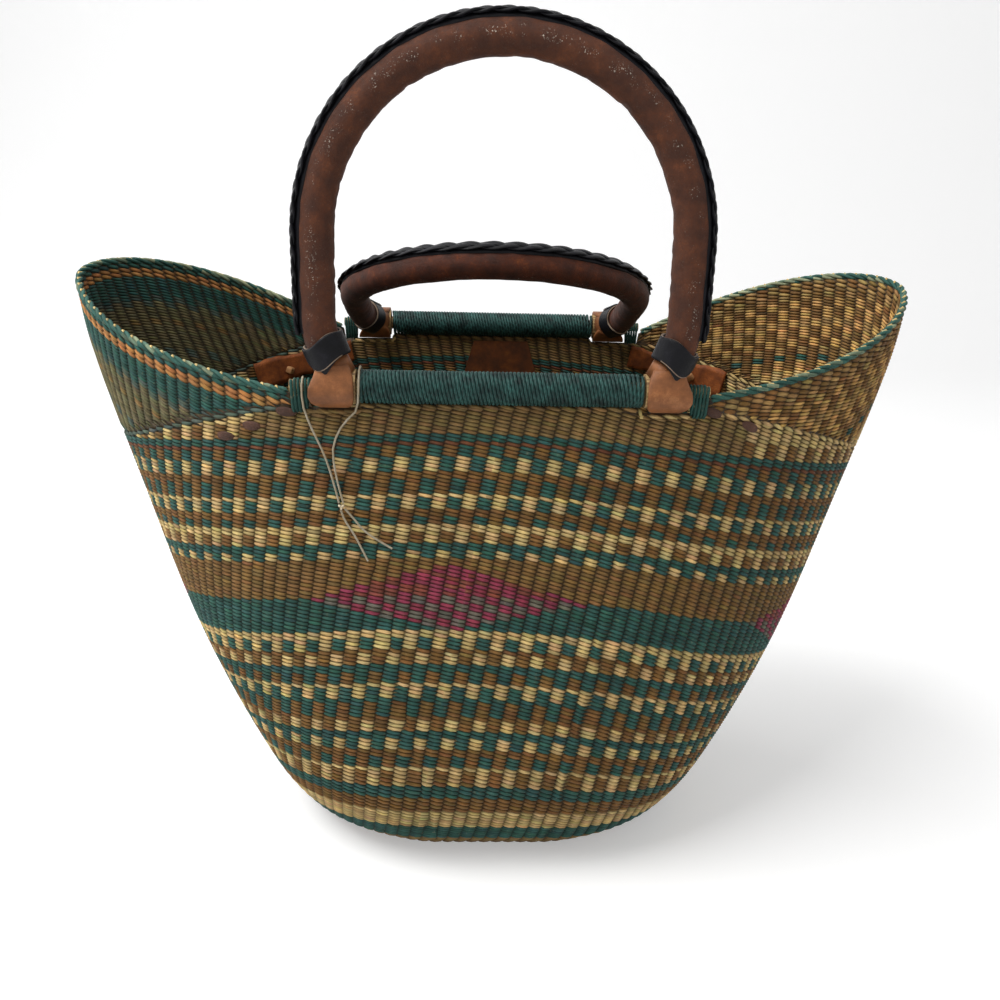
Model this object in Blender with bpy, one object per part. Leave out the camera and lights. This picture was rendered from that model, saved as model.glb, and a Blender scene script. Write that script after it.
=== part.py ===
"""A woven bolga basket with two leather handles that swing on its rim bars.

Units are metres, +X points right, +Y away from the viewer and +Z up. The origin is the
centre of the base on the floor. The body is one skin that grows from a round base into a
wide, boat-shaped mouth: a lower wall, and a wing woven onto each end of it.
"""

import math

import bmesh
import bpy
from mathutils import Matrix, Vector

# Clearances
GAP = 0.0003  # between two seated pieces
SEAT_CLEARANCE = 0.0007  # of a flat piece that lies on the curved inside of the wall
SWING_CLEARANCE = 0.0005  # below a leather loop that turns

# The woven skin: its outline at six heights, as half widths and half depths
SKIN_THICKNESS = 0.0040
BAR_HEIGHT = 0.308  # the axis of both rim bars above the floor
BASE_HALF_WIDTH, BASE_HALF_DEPTH = 0.106, 0.071
HEEL_SHARE, HEEL_HALF_WIDTH, HEEL_HALF_DEPTH = 0.06, 0.133, 0.090
LOWER_SHARE, LOWER_HALF_WIDTH, LOWER_HALF_DEPTH = 0.20, 0.158, 0.111
MIDDLE_SHARE, MIDDLE_HALF_WIDTH, MIDDLE_HALF_DEPTH = 0.45, 0.192, 0.1205
UPPER_SHARE, UPPER_HALF_WIDTH, UPPER_HALF_DEPTH = 0.75, 0.221, 0.1185
MOUTH_HALF_WIDTH, MOUTH_HALF_DEPTH = 0.243, 0.1145
TIP_HALF_WIDTH, TIP_RISE = 0.250, 0.045  # the tip of each wing, above the bars' axis
BASE_FLAT, MOUTH_FLAT = 0.030, 0.080  # half length of the straight front and back
BASE_POINT, MOUTH_POINT = 1.0, 1.16  # 1 is an elliptic end, more is a keener one
BASE_THICKNESS = 0.0045

# The wings, which start beside the handles and rise to the tips
WING_START = 0.107
SEAM_DROP = 0.040  # how far the seam sinks from the wing's start to its tip
SEAM_POWER = 1.3  # above 1 the seam sinks later
RIM_START_DROP = 0.002  # a wing's edge starts just below the bars' axis
REAR_LIFT = 0.030  # the rear edge of a wing stands higher than its front edge
RIM_BRAID_DIAMETER = 0.0050

# The rim bars, with a cord wound round each
BAR_DIAMETER = 0.0175  # over the winding, and of the bare stretches in the loops
BAR_END_DIAMETER = 0.0060
WINDING_CORD = 0.0040
WINDING_TURNS = 22
WINDING_STEPS = 12  # points in one turn

# The handles: a straight, leaning foot, a bend, an upright leg and a half round arch
FOOT_X = 0.078  # where the leg's axis meets the bar's axis
FOOT_LEAN = math.radians(28)
FOOT_RUN = 0.0165
ARCH_RADIUS = 0.091
SHOULDER_RISE = 0.072  # the centre of the arch above the bar's axis
HANDLE_DIAMETER = 0.0180
LEATHER = 0.0018
BAND_START, BAND_LENGTH, BAND_THICKNESS = 0.0125, 0.0145, 0.0014
LOOP_START, LOOP_END = 0.0735, 0.0885
LOOP_THICKNESS = 0.0020
NECK_DIAMETER = 0.0170
BRAID_WIDTH, BRAID_THICKNESS = 0.0085, 0.0040
BRAID_FLAT = 0.55  # share of the braid's width that is flat on top
BRAID_EDGE = 0.45  # share of its thickness at its edges
BRAID_START = 0.030  # along the leg from the bar's axis
FRONT_BRAID_ROLL = math.radians(-12)  # where the braid lies, from the arch's outer edge
REAR_BRAID_ROLL = math.radians(50)
REAR_HANDLE_FOLD = math.radians(70)  # the rear handle lies folded inward

# Leather pieces inside the wall
ANCHOR_START, ANCHOR_END = 0.105, 0.168
ANCHOR_BELOW, ANCHOR_DROP = 0.0035, 0.018  # below the wall's edge, and along its length
ANCHOR_WIDTH, ANCHOR_THICKNESS = 0.015, 0.0018
LABEL_CENTRE, LABEL_BELOW, LABEL_HEIGHT = 0.0065, 0.0025, 0.042
LABEL_TOP_WIDTH, LABEL_BOTTOM_WIDTH, LABEL_THICKNESS = 0.039, 0.063, 0.0015

# The thin twine on the left end of the front bar. Its stops beside the wall are (along the
# bar from the loop's inner end, below the bar's axis, off the wall), and those round the
# bar are (along the bar, turn in degrees from the top toward the rear, off the round).
TWINE_DIAMETER = 0.0011
TWINE_STEP = 0.0033
KNOT_RADIUS = 0.0017
KNOT_STOP = (0.0081, 0.0622, 0.0004)
TWINE_RISE = (
    (0.0070, 0.0603, 0.0013),
    (0.0103, 0.0460, 0.0017),
    (0.0115, 0.0310, 0.0023),
    (0.0065, 0.0190, 0.0026),
    (-0.0005, 0.0115, 0.0029),
)
TWINE_OVER_WINDING = (
    (-0.0023, -102, 0.0006),
    (-0.0024, -38, 0.0004),
    (-0.0024, 9, 0.0006),
    (-0.0024, 61, 0.0009),
    (-0.0021, 105, 0.0022),
    (-0.0007, 138, 0.0055),
    (0.0053, 157, 0.0086),
    (0.0155, 162, 0.0091),
    (0.0245, 153, 0.0052),
)
TWINE_OVER_END = ((0.0260, 119, 0.0036), (0.0263, 13, 0.0008), (0.0263, -85, 0.0018))
TWINE_FALL = (
    (0.0257, 0.0100, 0.0046),
    (0.0220, 0.0210, 0.0036),
    (0.0157, 0.0360, 0.0023),
    (0.0112, 0.0520, 0.0015),
    (0.0093, 0.0603, 0.0013),
)
SHORT_TAIL = (
    (0.0083, 0.0644, 0.0012),
    (0.0064, 0.0700, 0.0006),
    (0.0013, 0.0785, 0.0005),
    (-0.0052, 0.0920, 0.0005),
)
LONG_TAIL = (
    (0.0062, 0.0634, 0.0012),
    (0.0025, 0.0680, 0.0006),
    (-0.0050, 0.0765, 0.0005),
    (-0.0180, 0.0850, 0.0005),
)

# How finely the round forms are cut
QUARTER_COLUMNS = 11  # around a quarter of the skin, from its side to a wing's start
WALL_LEVELS = 8
WALL_LEVEL_POWER = 1.25  # above 1 the levels are closer near the floor, where it turns most
WING_LEVELS = 4
FACE_COLUMN, CORNER_COLUMN, SIDE_COLUMN = 0, 1, 2  # the middle of a face, its ends, the side
LEATHER_SIDES = 12
BAR_SIDES = 16
LOOP_SIDES = 20
RIM_BRAID_SIDES = 6
LEG_STEPS = 4
ARCH_STEPS = 8


TIP_HEIGHT = BAR_HEIGHT + TIP_RISE


def smooth_curve(stations, value):
    """Reads a smooth curve through (position, size) stations."""
    spots = [s[0] for s in stations]
    sizes = [s[1] for s in stations]
    last = len(spots) - 1

    def steepness(i):
        low, high = max(i - 1, 0), min(i + 1, last)
        return (sizes[high] - sizes[low]) / (spots[high] - spots[low])

    k = 0
    while k < last - 1 and value > spots[k + 1]:
        k += 1
    run = spots[k + 1] - spots[k]
    t = (value - spots[k]) / run
    start = sizes[k] * (1 + 2 * t) * (1 - t) ** 2 + run * steepness(k) * t * (1 - t) ** 2
    end = sizes[k + 1] * t * t * (3 - 2 * t) - run * steepness(k + 1) * t * t * (1 - t)
    return start + end


HALF_WIDTHS = (
    (0.0, BASE_HALF_WIDTH),
    (HEEL_SHARE * BAR_HEIGHT, HEEL_HALF_WIDTH),
    (LOWER_SHARE * BAR_HEIGHT, LOWER_HALF_WIDTH),
    (MIDDLE_SHARE * BAR_HEIGHT, MIDDLE_HALF_WIDTH),
    (UPPER_SHARE * BAR_HEIGHT, UPPER_HALF_WIDTH),
    (BAR_HEIGHT, MOUTH_HALF_WIDTH),
    (TIP_HEIGHT, TIP_HALF_WIDTH),
)
HALF_DEPTHS = (
    (0.0, BASE_HALF_DEPTH),
    (HEEL_SHARE * BAR_HEIGHT, HEEL_HALF_DEPTH),
    (LOWER_SHARE * BAR_HEIGHT, LOWER_HALF_DEPTH),
    (MIDDLE_SHARE * BAR_HEIGHT, MIDDLE_HALF_DEPTH),
    (UPPER_SHARE * BAR_HEIGHT, UPPER_HALF_DEPTH),
    (BAR_HEIGHT, MOUTH_HALF_DEPTH),
    (TIP_HEIGHT, MOUTH_HALF_DEPTH),
)

RIM_START_HEIGHT = BAR_HEIGHT - RIM_START_DROP
BAR_RADIUS = BAR_DIAMETER / 2
BAR_Y = MOUTH_HALF_DEPTH - SKIN_THICKNESS / 2
LOOP_RADIUS = BAR_RADIUS + GAP + LOOP_THICKNESS
SEAT_HEIGHT = BAR_HEIGHT - BAR_RADIUS - GAP  # the wall's edge under the winding
NOTCH_HEIGHT = BAR_HEIGHT - LOOP_RADIUS - SWING_CLEARANCE  # and under the loops
NOTCH_START = LOOP_START - SWING_CLEARANCE
ANCHOR_TOP = SEAT_HEIGHT - ANCHOR_BELOW
LABEL_TOP = SEAT_HEIGHT - LABEL_BELOW
HANDLE_RADIUS = HANDLE_DIAMETER / 2
NECK_END = FOOT_RUN - 2 * GAP
LEG_BEND_REACH = ARCH_RADIUS - FOOT_X - FOOT_RUN * math.sin(FOOT_LEAN)
LEG_BEND = LEG_BEND_REACH / (1 - math.cos(FOOT_LEAN))  # the radius of the leg's bend
LEG_LENGTH = FOOT_RUN + LEG_BEND * FOOT_LEAN  # from the bar's axis to the end of the bend


def inset_size(stations, height, inset):
    """A half size of the skin at a height, a distance inside its outer face."""
    step = 0.001
    slope = (smooth_curve(stations, height + step) - smooth_curve(stations, height)) / step
    return smooth_curve(stations, height) - inset * math.hypot(1.0, slope)


def flat_length(height):
    """Half the length of the straight front at a height."""
    share = min(height / BAR_HEIGHT, 1.0)
    return BASE_FLAT + (MOUTH_FLAT - BASE_FLAT) * share


def end_power(height):
    """How keen the ends of the outline are at a height."""
    return BASE_POINT + (MOUTH_POINT - BASE_POINT) * min(height / BAR_HEIGHT, 1.0)


def skin_point(place, height, inset=0.0):
    """A point of the skin. place is (side, face, column): side -1 left or 1 right, face -1
    front or 1 rear, and column 0 at the middle of that face, 1 where its straight part
    ends, and 2 at the side of the basket."""
    side, face, column = place
    width = inset_size(HALF_WIDTHS, height, inset)
    depth = inset_size(HALF_DEPTHS, height, inset)
    flat = flat_length(height)
    turn = max(column - CORNER_COLUMN, 0.0) * math.pi / 2
    power = end_power(height)
    x = flat * min(column, CORNER_COLUMN) + (width - flat) * math.sin(turn) ** power
    y = depth * max(math.cos(turn), 0.0) ** power
    return Vector((side * x, face * y, height))


def column_at(x, height=BAR_HEIGHT):
    """The column whose point at a height lies at x."""
    flat = flat_length(height)
    if x <= flat:
        return x / flat
    width = inset_size(HALF_WIDTHS, height, 0.0)
    share = ((x - flat) / (width - flat)) ** (1 / end_power(height))
    return CORNER_COLUMN + math.asin(share) * 2 / math.pi


def evenly(start, end, steps):
    """steps + 1 numbers from start to end."""
    return [start + (end - start) * i / steps for i in range(steps + 1)]


def wing_share(place):
    """0 at a wing's start, 1 at its tip."""
    x = abs(skin_point(place, BAR_HEIGHT).x)
    return min(max((x - WING_START) / (MOUTH_HALF_WIDTH - WING_START), 0.0), 1.0)


def seam_height(place):
    """The height of the seam between the wall and a wing."""
    return NOTCH_HEIGHT - SEAM_DROP * wing_share(place) ** SEAM_POWER


def rim_height(place):
    """The height of a wing's braided edge."""
    share = wing_share(place)
    toward_rear = skin_point(place, BAR_HEIGHT).y / MOUTH_HALF_DEPTH
    rise = (TIP_HEIGHT - RIM_START_HEIGHT) * share
    return RIM_START_HEIGHT + rise + REAR_LIFT * share * toward_rear


def wall_top(place):
    """The height of the wall's edge: under the bar, in a loop's notch or at the seam."""
    column = place[2]
    if column <= column_at(NOTCH_START) + 1e-6:
        return SEAT_HEIGHT
    if column < column_at(WING_START):
        return NOTCH_HEIGHT
    return seam_height(place)


def quarter_columns():
    """The columns of a quarter of the wall, with one pair at the edge of the notch."""
    notch = column_at(NOTCH_START)
    wing = column_at(WING_START)
    beside = column_at(NOTCH_START + GAP)
    inner = evenly(FACE_COLUMN, notch, 3)
    between = evenly(beside, wing, 2)
    return inner + between[:-1] + evenly(wing, SIDE_COLUMN, QUARTER_COLUMNS)


def round_places():
    """The places once round the skin, from the front's middle over the right side."""
    columns = quarter_columns()
    places = [(1, -1, c) for c in columns]
    places += [(1, 1, c) for c in reversed(columns[:-1])]
    places += [(-1, 1, c) for c in columns[1:]]
    places += [(-1, -1, c) for c in reversed(columns[1:-1])]
    return places


def wing_places(side, start=WING_START):
    """The places along a wing, from its front end round the tip to its rear end."""
    wing = column_at(WING_START)
    columns = [column_at(start)] + evenly(wing, SIDE_COLUMN, QUARTER_COLUMNS)[1:]
    front = [(side, -1, c) for c in columns]
    return front + [(side, 1, c) for c in reversed(columns[:-1])]


def clear_scene():
    """Removes every object that the scene starts with."""
    for item in list(bpy.data.objects):
        bpy.data.objects.remove(item, do_unlink=True)


def finish(name, colour, roughness):
    """A plain material in a colour of red, green and blue from 0 to 1."""
    material = bpy.data.materials.new(name)
    material.use_nodes = True
    shader = material.node_tree.nodes["Principled BSDF"]
    shader.inputs["Base Color"].default_value = (*colour, 1.0)
    shader.inputs["Roughness"].default_value = roughness
    shader.inputs["Metallic"].default_value = 0.0
    return material


def place_mesh(name, bm, look, parent=None):
    """Makes a closed mesh into an object, shaded smooth but for its sharp edges."""
    bmesh.ops.recalc_face_normals(bm, faces=bm.faces)
    mesh = bpy.data.meshes.new(name)
    bm.to_mesh(mesh)
    bm.free()
    mesh.shade_smooth()
    mesh.set_sharp_from_angle(angle=math.radians(40))
    mesh.materials.append(look)
    item = bpy.data.objects.new(name, mesh)
    bpy.context.scene.collection.objects.link(item)
    item.parent = parent
    return item


def loft(rings, joined=False):
    """A skin over rings of points. It is closed with a cap at each end, or joined from the
    last ring to the first, which leaves a hole through it."""
    bm = bmesh.new()
    first = bmesh.ops.create_circle(bm, segments=len(rings[0]), radius=1.0)["verts"]
    for vert, spot in zip(first, rings[0]):
        vert.co = spot
    ring, edges = first, list(bm.edges)
    rows = rings[1:] + rings[:1] if joined else rings[1:]
    for row in rows:
        grown = bmesh.ops.extrude_edge_only(bm, edges=edges)["geom"]
        fresh = {part for part in grown if isinstance(part, bmesh.types.BMVert)}
        edges = [
            part
            for part in grown
            if isinstance(part, bmesh.types.BMEdge) and fresh.issuperset(part.verts)
        ]
        partners = []
        for vert in ring:
            across = [edge.other_vert(vert) for edge in vert.link_edges]
            partners.append(next(other for other in across if other in fresh))
        ring = partners
        for vert, spot in zip(ring, row):
            vert.co = spot
    if joined:
        bmesh.ops.weld_verts(bm, targetmap=dict(zip(ring, first)))
    else:
        bmesh.ops.holes_fill(bm, edges=list(bm.edges), sides=0)
    return bm


def tube_curve(name, points, diameter, look, resolution):
    """A tube along points, as a curve with filled ends."""
    curve = bpy.data.curves.new(name, "CURVE")
    curve.dimensions = "3D"
    spline = curve.splines.new("POLY")
    spline.points.add(len(points) - 1)
    for knot, spot in zip(spline.points, points):
        knot.co = (*spot, 1.0)
    curve.bevel_depth = diameter / 2
    curve.bevel_resolution = resolution
    curve.use_fill_caps = True
    curve.render_resolution_u = 0
    curve.materials.append(look)
    item = bpy.data.objects.new(name, curve)
    bpy.context.scene.collection.objects.link(item)
    return item


def make_wall(look):
    """The round-woven wall, from the floor up to the bars and the seams."""
    places = round_places()
    rings = []
    for inset, levels in ((0.0, evenly(0.0, 1.0, WALL_LEVELS)),
                          (SKIN_THICKNESS, evenly(1.0, 0.0, WALL_LEVELS))):
        for level in levels:
            share = level**WALL_LEVEL_POWER
            rings.append([skin_point(p, wall_top(p) * share, inset) for p in places])
    return place_mesh("wall", loft(rings, joined=True), look)


def make_base(look):
    """The flat woven disc that the basket stands on, set inside the wall's foot."""
    places = round_places()
    inset = SKIN_THICKNESS + GAP
    rings = [[skin_point(p, z, inset) for p in places] for z in (0.0, BASE_THICKNESS)]
    return place_mesh("base", loft(rings), look)


def make_wing(name, side, look):
    """One end of the mouth, woven on above the seam."""
    sections = []
    for place in wing_places(side):
        low = seam_height(place) + GAP
        high = rim_height(place) - RIM_BRAID_DIAMETER - GAP
        outer = [skin_point(place, z) for z in evenly(low, high, WING_LEVELS)]
        inner = [skin_point(place, z, SKIN_THICKNESS) for z in evenly(high, low, WING_LEVELS)]
        sections.append(outer + inner)
    return place_mesh(name, loft(sections), look)


def ring_round(centre, across, up, radius, sides, start=0.0):
    """Points round a centre, in the plane of two directions."""
    turns = [start + 2 * math.pi * i / sides for i in range(sides)]
    return [centre + radius * (math.cos(t) * across + math.sin(t) * up) for t in turns]


def make_rim_braid(name, side, look):
    """The braid that closes a wing's edge."""
    middles = []
    for place in wing_places(side, WING_START + RIM_BRAID_DIAMETER / 2):
        height = rim_height(place) - RIM_BRAID_DIAMETER / 2
        middles.append(skin_point(place, height, SKIN_THICKNESS / 2))
    rings = []
    for i, middle in enumerate(middles):
        along = middles[min(i + 1, len(middles) - 1)] - middles[max(i - 1, 0)]
        across = along.cross(Vector((0, 0, 1))).normalized()
        up = across.cross(along).normalized()
        rings.append(ring_round(middle, across, up, RIM_BRAID_DIAMETER / 2, RIM_BRAID_SIDES))
    return place_mesh(name, loft(rings), look)


def make_bar_core(name, face, look):
    """A turned grass bundle: thin under the winding and at its ends, full in the loops."""
    core = BAR_RADIUS - WINDING_CORD - GAP
    end = BAR_END_DIAMETER / 2
    half = (
        (NOTCH_START, core),
        (NOTCH_START, BAR_RADIUS),
        (LOOP_END, BAR_RADIUS),
        (LOOP_END, end),
        (WING_START - GAP, end),
    )
    profile = [(-x, radius) for x, radius in reversed(half)] + list(half)
    rings = []
    for x, radius in profile:
        centre = Vector((x, face * BAR_Y, BAR_HEIGHT))
        across, up = Vector((0, 1, 0)), Vector((0, 0, 1))
        rings.append(ring_round(centre, across, up, radius, BAR_SIDES))
    return place_mesh(name, loft(rings), look)


def winding_points(face):
    """The cord's line round a bar: straight at each end, and turns between."""
    reach = NOTCH_START - GAP
    radius = BAR_RADIUS - WINDING_CORD / 2
    start = -reach + WINDING_CORD
    pitch = -2 * start / WINDING_TURNS
    points = [Vector((-reach, face * BAR_Y, BAR_HEIGHT + radius))]
    for i in range(WINDING_TURNS * WINDING_STEPS + 1):
        turn = 2 * math.pi * i / WINDING_STEPS
        x = start + pitch * i / WINDING_STEPS
        y = face * BAR_Y - radius * math.sin(turn)
        points.append(Vector((x, y, BAR_HEIGHT + radius * math.cos(turn))))
    points.append(Vector((reach, face * BAR_Y, BAR_HEIGHT + radius)))
    return points


def least_gap(points, diameter, skip):
    """The least distance between a tube's turns, measured from point to point."""
    nearest = min(
        (points[i] - points[j]).length
        for i in range(len(points))
        for j in range(i + skip, len(points))
    )
    return nearest - diameter


def leg_spot(run):
    """The axis of the right leg at a distance along it, as (x, rise) with its lean."""
    straight = min(run, FOOT_RUN)
    lean = FOOT_LEAN - max(run - FOOT_RUN, 0.0) / LEG_BEND
    x = FOOT_X + straight * math.sin(FOOT_LEAN)
    x += LEG_BEND * (math.cos(lean) - math.cos(FOOT_LEAN))
    rise = straight * math.cos(FOOT_LEAN)
    rise += LEG_BEND * (math.sin(FOOT_LEAN) - math.sin(lean))
    return (x, rise), lean


def handle_line(start):
    """The axis of a handle in its own plane, from a distance along one leg over the arch to
    the same distance on the other, as (x, rise) pairs with their directions."""
    bends = evenly(FOOT_RUN, LEG_LENGTH, LEG_STEPS)
    half = [leg_spot(run) for run in [start] + [r for r in bends if r > start + 2 * GAP]]
    for turn in evenly(0.0, math.pi / 2, ARCH_STEPS):
        x = ARCH_RADIUS * math.cos(turn)
        half.append(((x, SHOULDER_RISE + ARCH_RADIUS * math.sin(turn)), -turn))
    mirrored = [((-x, rise), -math.pi - lean) for (x, rise), lean in reversed(half[:-1])]
    return half + mirrored


def ring_on(line_point, radius, sides):
    """A ring square to a handle's axis."""
    (x, rise), lean = line_point
    outward = Vector((math.cos(lean), 0, -math.sin(lean)))
    return ring_round(Vector((x, 0, rise)), outward, Vector((0, 1, 0)), radius, sides)


def hollow_sleeve(line, outer, inner, sides):
    """A sleeve along an axis, open at both ends."""
    rings = [ring_on(spot, outer, sides) for spot in line]
    rings += [ring_on(spot, inner, sides) for spot in reversed(line)]
    return loft(rings, joined=True)


def make_handle_braid(name, roll, look, parent):
    """The black braid on a handle's back, a low strip with a round top."""
    rings = []
    seat = HANDLE_RADIUS + GAP
    half = BRAID_WIDTH / 2
    for (x, rise), lean in handle_line(BRAID_START):
        outward = Vector((math.cos(lean), 0, -math.sin(lean)))
        across = Vector((0, 1, 0))
        out = math.cos(roll) * outward + math.sin(roll) * across
        side = math.cos(roll) * across - math.sin(roll) * outward
        centre = Vector((x, 0, rise))
        section = []
        for share in (-1.0, -BRAID_FLAT, BRAID_FLAT, 1.0):
            crown = seat + BRAID_THICKNESS * (BRAID_EDGE if abs(share) == 1.0 else 1.0)
            section.append(centre + crown * out + half * share * side)
        for share in (1.0, 0.0, -1.0):
            # The underside follows the round leather.
            dip = math.sqrt(seat**2 - (half * share) ** 2) / math.cos(math.pi / LEATHER_SIDES)
            section.append(centre + dip * out + half * share * side)
        rings.append(section)
    return place_mesh(name, loft(rings), look, parent)


def make_loop(name, side, look, parent):
    """The leather loop that turns on the bar, and its neck up into the leg."""
    middle = side * (LOOP_START + LOOP_END) / 2
    width = LOOP_END - LOOP_START
    loop = turned_rod(name, middle, width, LOOP_RADIUS, look, parent)
    neck_base = Vector((side * FOOT_X, 0, 0))
    lean = Vector((side * math.sin(FOOT_LEAN), 0, math.cos(FOOT_LEAN)))
    across = Vector((lean.z, 0, -lean.x))
    neck = NECK_DIAMETER / 2
    rings = [
        ring_round(neck_base + lean * run, across, Vector((0, 1, 0)), neck, BAR_SIDES)
        for run in (0.0, NECK_END)
    ]
    neck_guide = place_mesh(name + "_neck_guide", loft(rings), look, parent)
    # The bore's guide is longer than the loop, so that it cuts the neck too.
    bore = turned_rod(name + "_bore_guide", middle, 2 * width, BAR_RADIUS + GAP, look, parent)
    for tool, operation in ((neck_guide, "UNION"), (bore, "DIFFERENCE")):
        cut = loop.modifiers.new(operation.lower(), "BOOLEAN")
        cut.operation = operation
        cut.solver = "EXACT"
        cut.object = tool
        tool.hide_render = True
        tool.display_type = "WIRE"
    return loop


def turned_rod(name, middle, length, radius, look, parent):
    """A rod on the bar's axis."""
    bm = bmesh.new()
    bmesh.ops.create_cone(
        bm, cap_ends=True, segments=LOOP_SIDES, radius1=radius, radius2=radius, depth=length
    )
    turn = Matrix.Rotation(math.pi / 2, 4, "Y")
    bmesh.ops.transform(bm, matrix=Matrix.Translation((middle, 0, 0)) @ turn, verts=bm.verts)
    return place_mesh(name, bm, look, parent)


def make_handle(name, face, fold, roll, looks):
    """A handle, built upright round its bar's axis and then folded about it."""
    pivot = bpy.data.objects.new(name + "_pivot", None)
    bpy.context.scene.collection.objects.link(pivot)
    pivot.location = (0, face * BAR_Y, BAR_HEIGHT)
    pivot.rotation_euler = (fold, 0, 0)
    line = handle_line(NECK_END + GAP)
    inside = HANDLE_RADIUS - LEATHER
    cover = hollow_sleeve(line, HANDLE_RADIUS, inside, LEATHER_SIDES)
    place_mesh(name + "_leather", cover, looks["handle_leather"], pivot)
    core = loft([ring_on(spot, inside - GAP, LEATHER_SIDES) for spot in line])
    place_mesh(name + "_core", core, looks["grass"], pivot)
    make_handle_braid(name + "_braid", roll, looks["black_leather"], pivot)
    band_inside = HANDLE_RADIUS + GAP
    for label, side in (("left", -1), ("right", 1)):
        band_end = BAND_START + BAND_LENGTH
        leg = [leg_spot(run) for run in evenly(BAND_START, band_end, LEG_STEPS)]
        band = hollow_sleeve(leg, band_inside + BAND_THICKNESS, band_inside, BAR_SIDES)
        bmesh.ops.scale(band, vec=(side, 1, 1), verts=band.verts)
        place_mesh(f"{name}_{label}_band", band, looks["black_leather"], pivot)
        make_loop(f"{name}_{label}_loop", side, looks["tan_leather"], pivot)
    return pivot


def make_anchor(name, side, face, look):
    """A leather strap along the inside of the wall, at the end of a bar."""
    sections = []
    near = SKIN_THICKNESS + SEAT_CLEARANCE
    for share in evenly(0.0, 1.0, 5):
        x = ANCHOR_START + (ANCHOR_END - ANCHOR_START) * share
        place = (side, face, column_at(x))
        top = ANCHOR_TOP - ANCHOR_DROP * share
        section = []
        for inset, heights in (
            (near, (top - ANCHOR_WIDTH, top)),
            (near + ANCHOR_THICKNESS, (top, top - ANCHOR_WIDTH)),
        ):
            section += [skin_point(place, height, inset) for height in heights]
        sections.append(section)
    return place_mesh(name, loft(sections), look)


def make_label(look):
    """The bare leather patch inside the rear wall, wider at its foot."""
    near = SKIN_THICKNESS + SEAT_CLEARANCE
    rings = []
    for share in evenly(0.0, 1.0, 3):
        height = LABEL_TOP - LABEL_HEIGHT * share
        half = (LABEL_TOP_WIDTH + (LABEL_BOTTOM_WIDTH - LABEL_TOP_WIDTH) * share) / 2
        outer = inset_size(HALF_DEPTHS, height, near)
        inner = outer - LABEL_THICKNESS
        corners = ((-half, outer), (half, outer), (half, inner), (-half, inner))
        rings.append([Vector((LABEL_CENTRE + x, y, height)) for x, y in corners])
    return place_mesh("label", loft(rings), look)


def smooth_route(points, step):
    """Points a step apart on a smooth curve through a route's own points."""
    spots = [Vector(p) for p in points]
    fine = []
    for i in range(len(spots) - 1):
        before, a, b, after = (spots[max(i - 1, 0)], spots[i], spots[i + 1],
                               spots[min(i + 2, len(spots) - 1)])
        for t in evenly(0.0, 1.0, 12)[:-1]:
            fine.append(0.5 * (2 * a + (b - before) * t
                               + (2 * before - 5 * a + 4 * b - after) * t * t
                               + (3 * a - before - 3 * b + after) * t**3))
    fine.append(spots[-1])
    lengths = [0.0]
    for a, b in zip(fine, fine[1:]):
        lengths.append(lengths[-1] + (b - a).length)
    count = round(lengths[-1] / step)
    even, k = [], 0
    for i in range(count + 1):
        goal = lengths[-1] * i / count
        while k < len(fine) - 2 and lengths[k + 1] < goal:
            k += 1
        share = (goal - lengths[k]) / (lengths[k + 1] - lengths[k])
        even.append(fine[k].lerp(fine[k + 1], min(max(share, 0.0), 1.0)))
    return even


def beside_wall(stop, radius):
    """A point before the front wall, a round thing's radius and a distance off it."""
    along, drop, off = stop
    x, height = LOOP_START + along, BAR_HEIGHT - drop
    face = skin_point((-1, -1, column_at(x, height)), height).y
    return Vector((-x, face - radius - off, height))


def round_bar(stop, radius):
    """A point round the front bar's axis, a distance off a radius."""
    along, degrees, off = stop
    turn = math.radians(degrees)
    reach = radius + TWINE_DIAMETER / 2 + off
    y = -BAR_Y + reach * math.sin(turn)
    return Vector((-LOOP_START - along, y, BAR_HEIGHT + reach * math.cos(turn)))


def twine_routes():
    """The twine's loop and its two tails. The loop leaves the knot, passes over the wound
    bar beside the left loop, runs along the inside of the wall, comes back over the bar's
    thin end and returns to the knot."""
    half = TWINE_DIAMETER / 2
    loop = [beside_wall(stop, half) for stop in TWINE_RISE]
    loop += [round_bar(stop, BAR_RADIUS) for stop in TWINE_OVER_WINDING]
    loop += [round_bar(stop, BAR_END_DIAMETER / 2) for stop in TWINE_OVER_END]
    loop += [beside_wall(stop, half) for stop in TWINE_FALL]
    return {
        "twine_loop": loop,
        "twine_short_tail": [beside_wall(stop, half) for stop in SHORT_TAIL],
        "twine_long_tail": [beside_wall(stop, half) for stop in LONG_TAIL],
    }


def make_twine(look):
    """The twine's loop, its knot and its two tails."""
    for name, route in twine_routes().items():
        tube_curve(name, smooth_route(route, TWINE_STEP), TWINE_DIAMETER, look, 2)
    bm = bmesh.new()
    bmesh.ops.create_icosphere(bm, subdivisions=2, radius=KNOT_RADIUS)
    bmesh.ops.translate(bm, vec=beside_wall(KNOT_STOP, KNOT_RADIUS), verts=bm.verts)
    place_mesh("twine_knot", bm, look)


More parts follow.
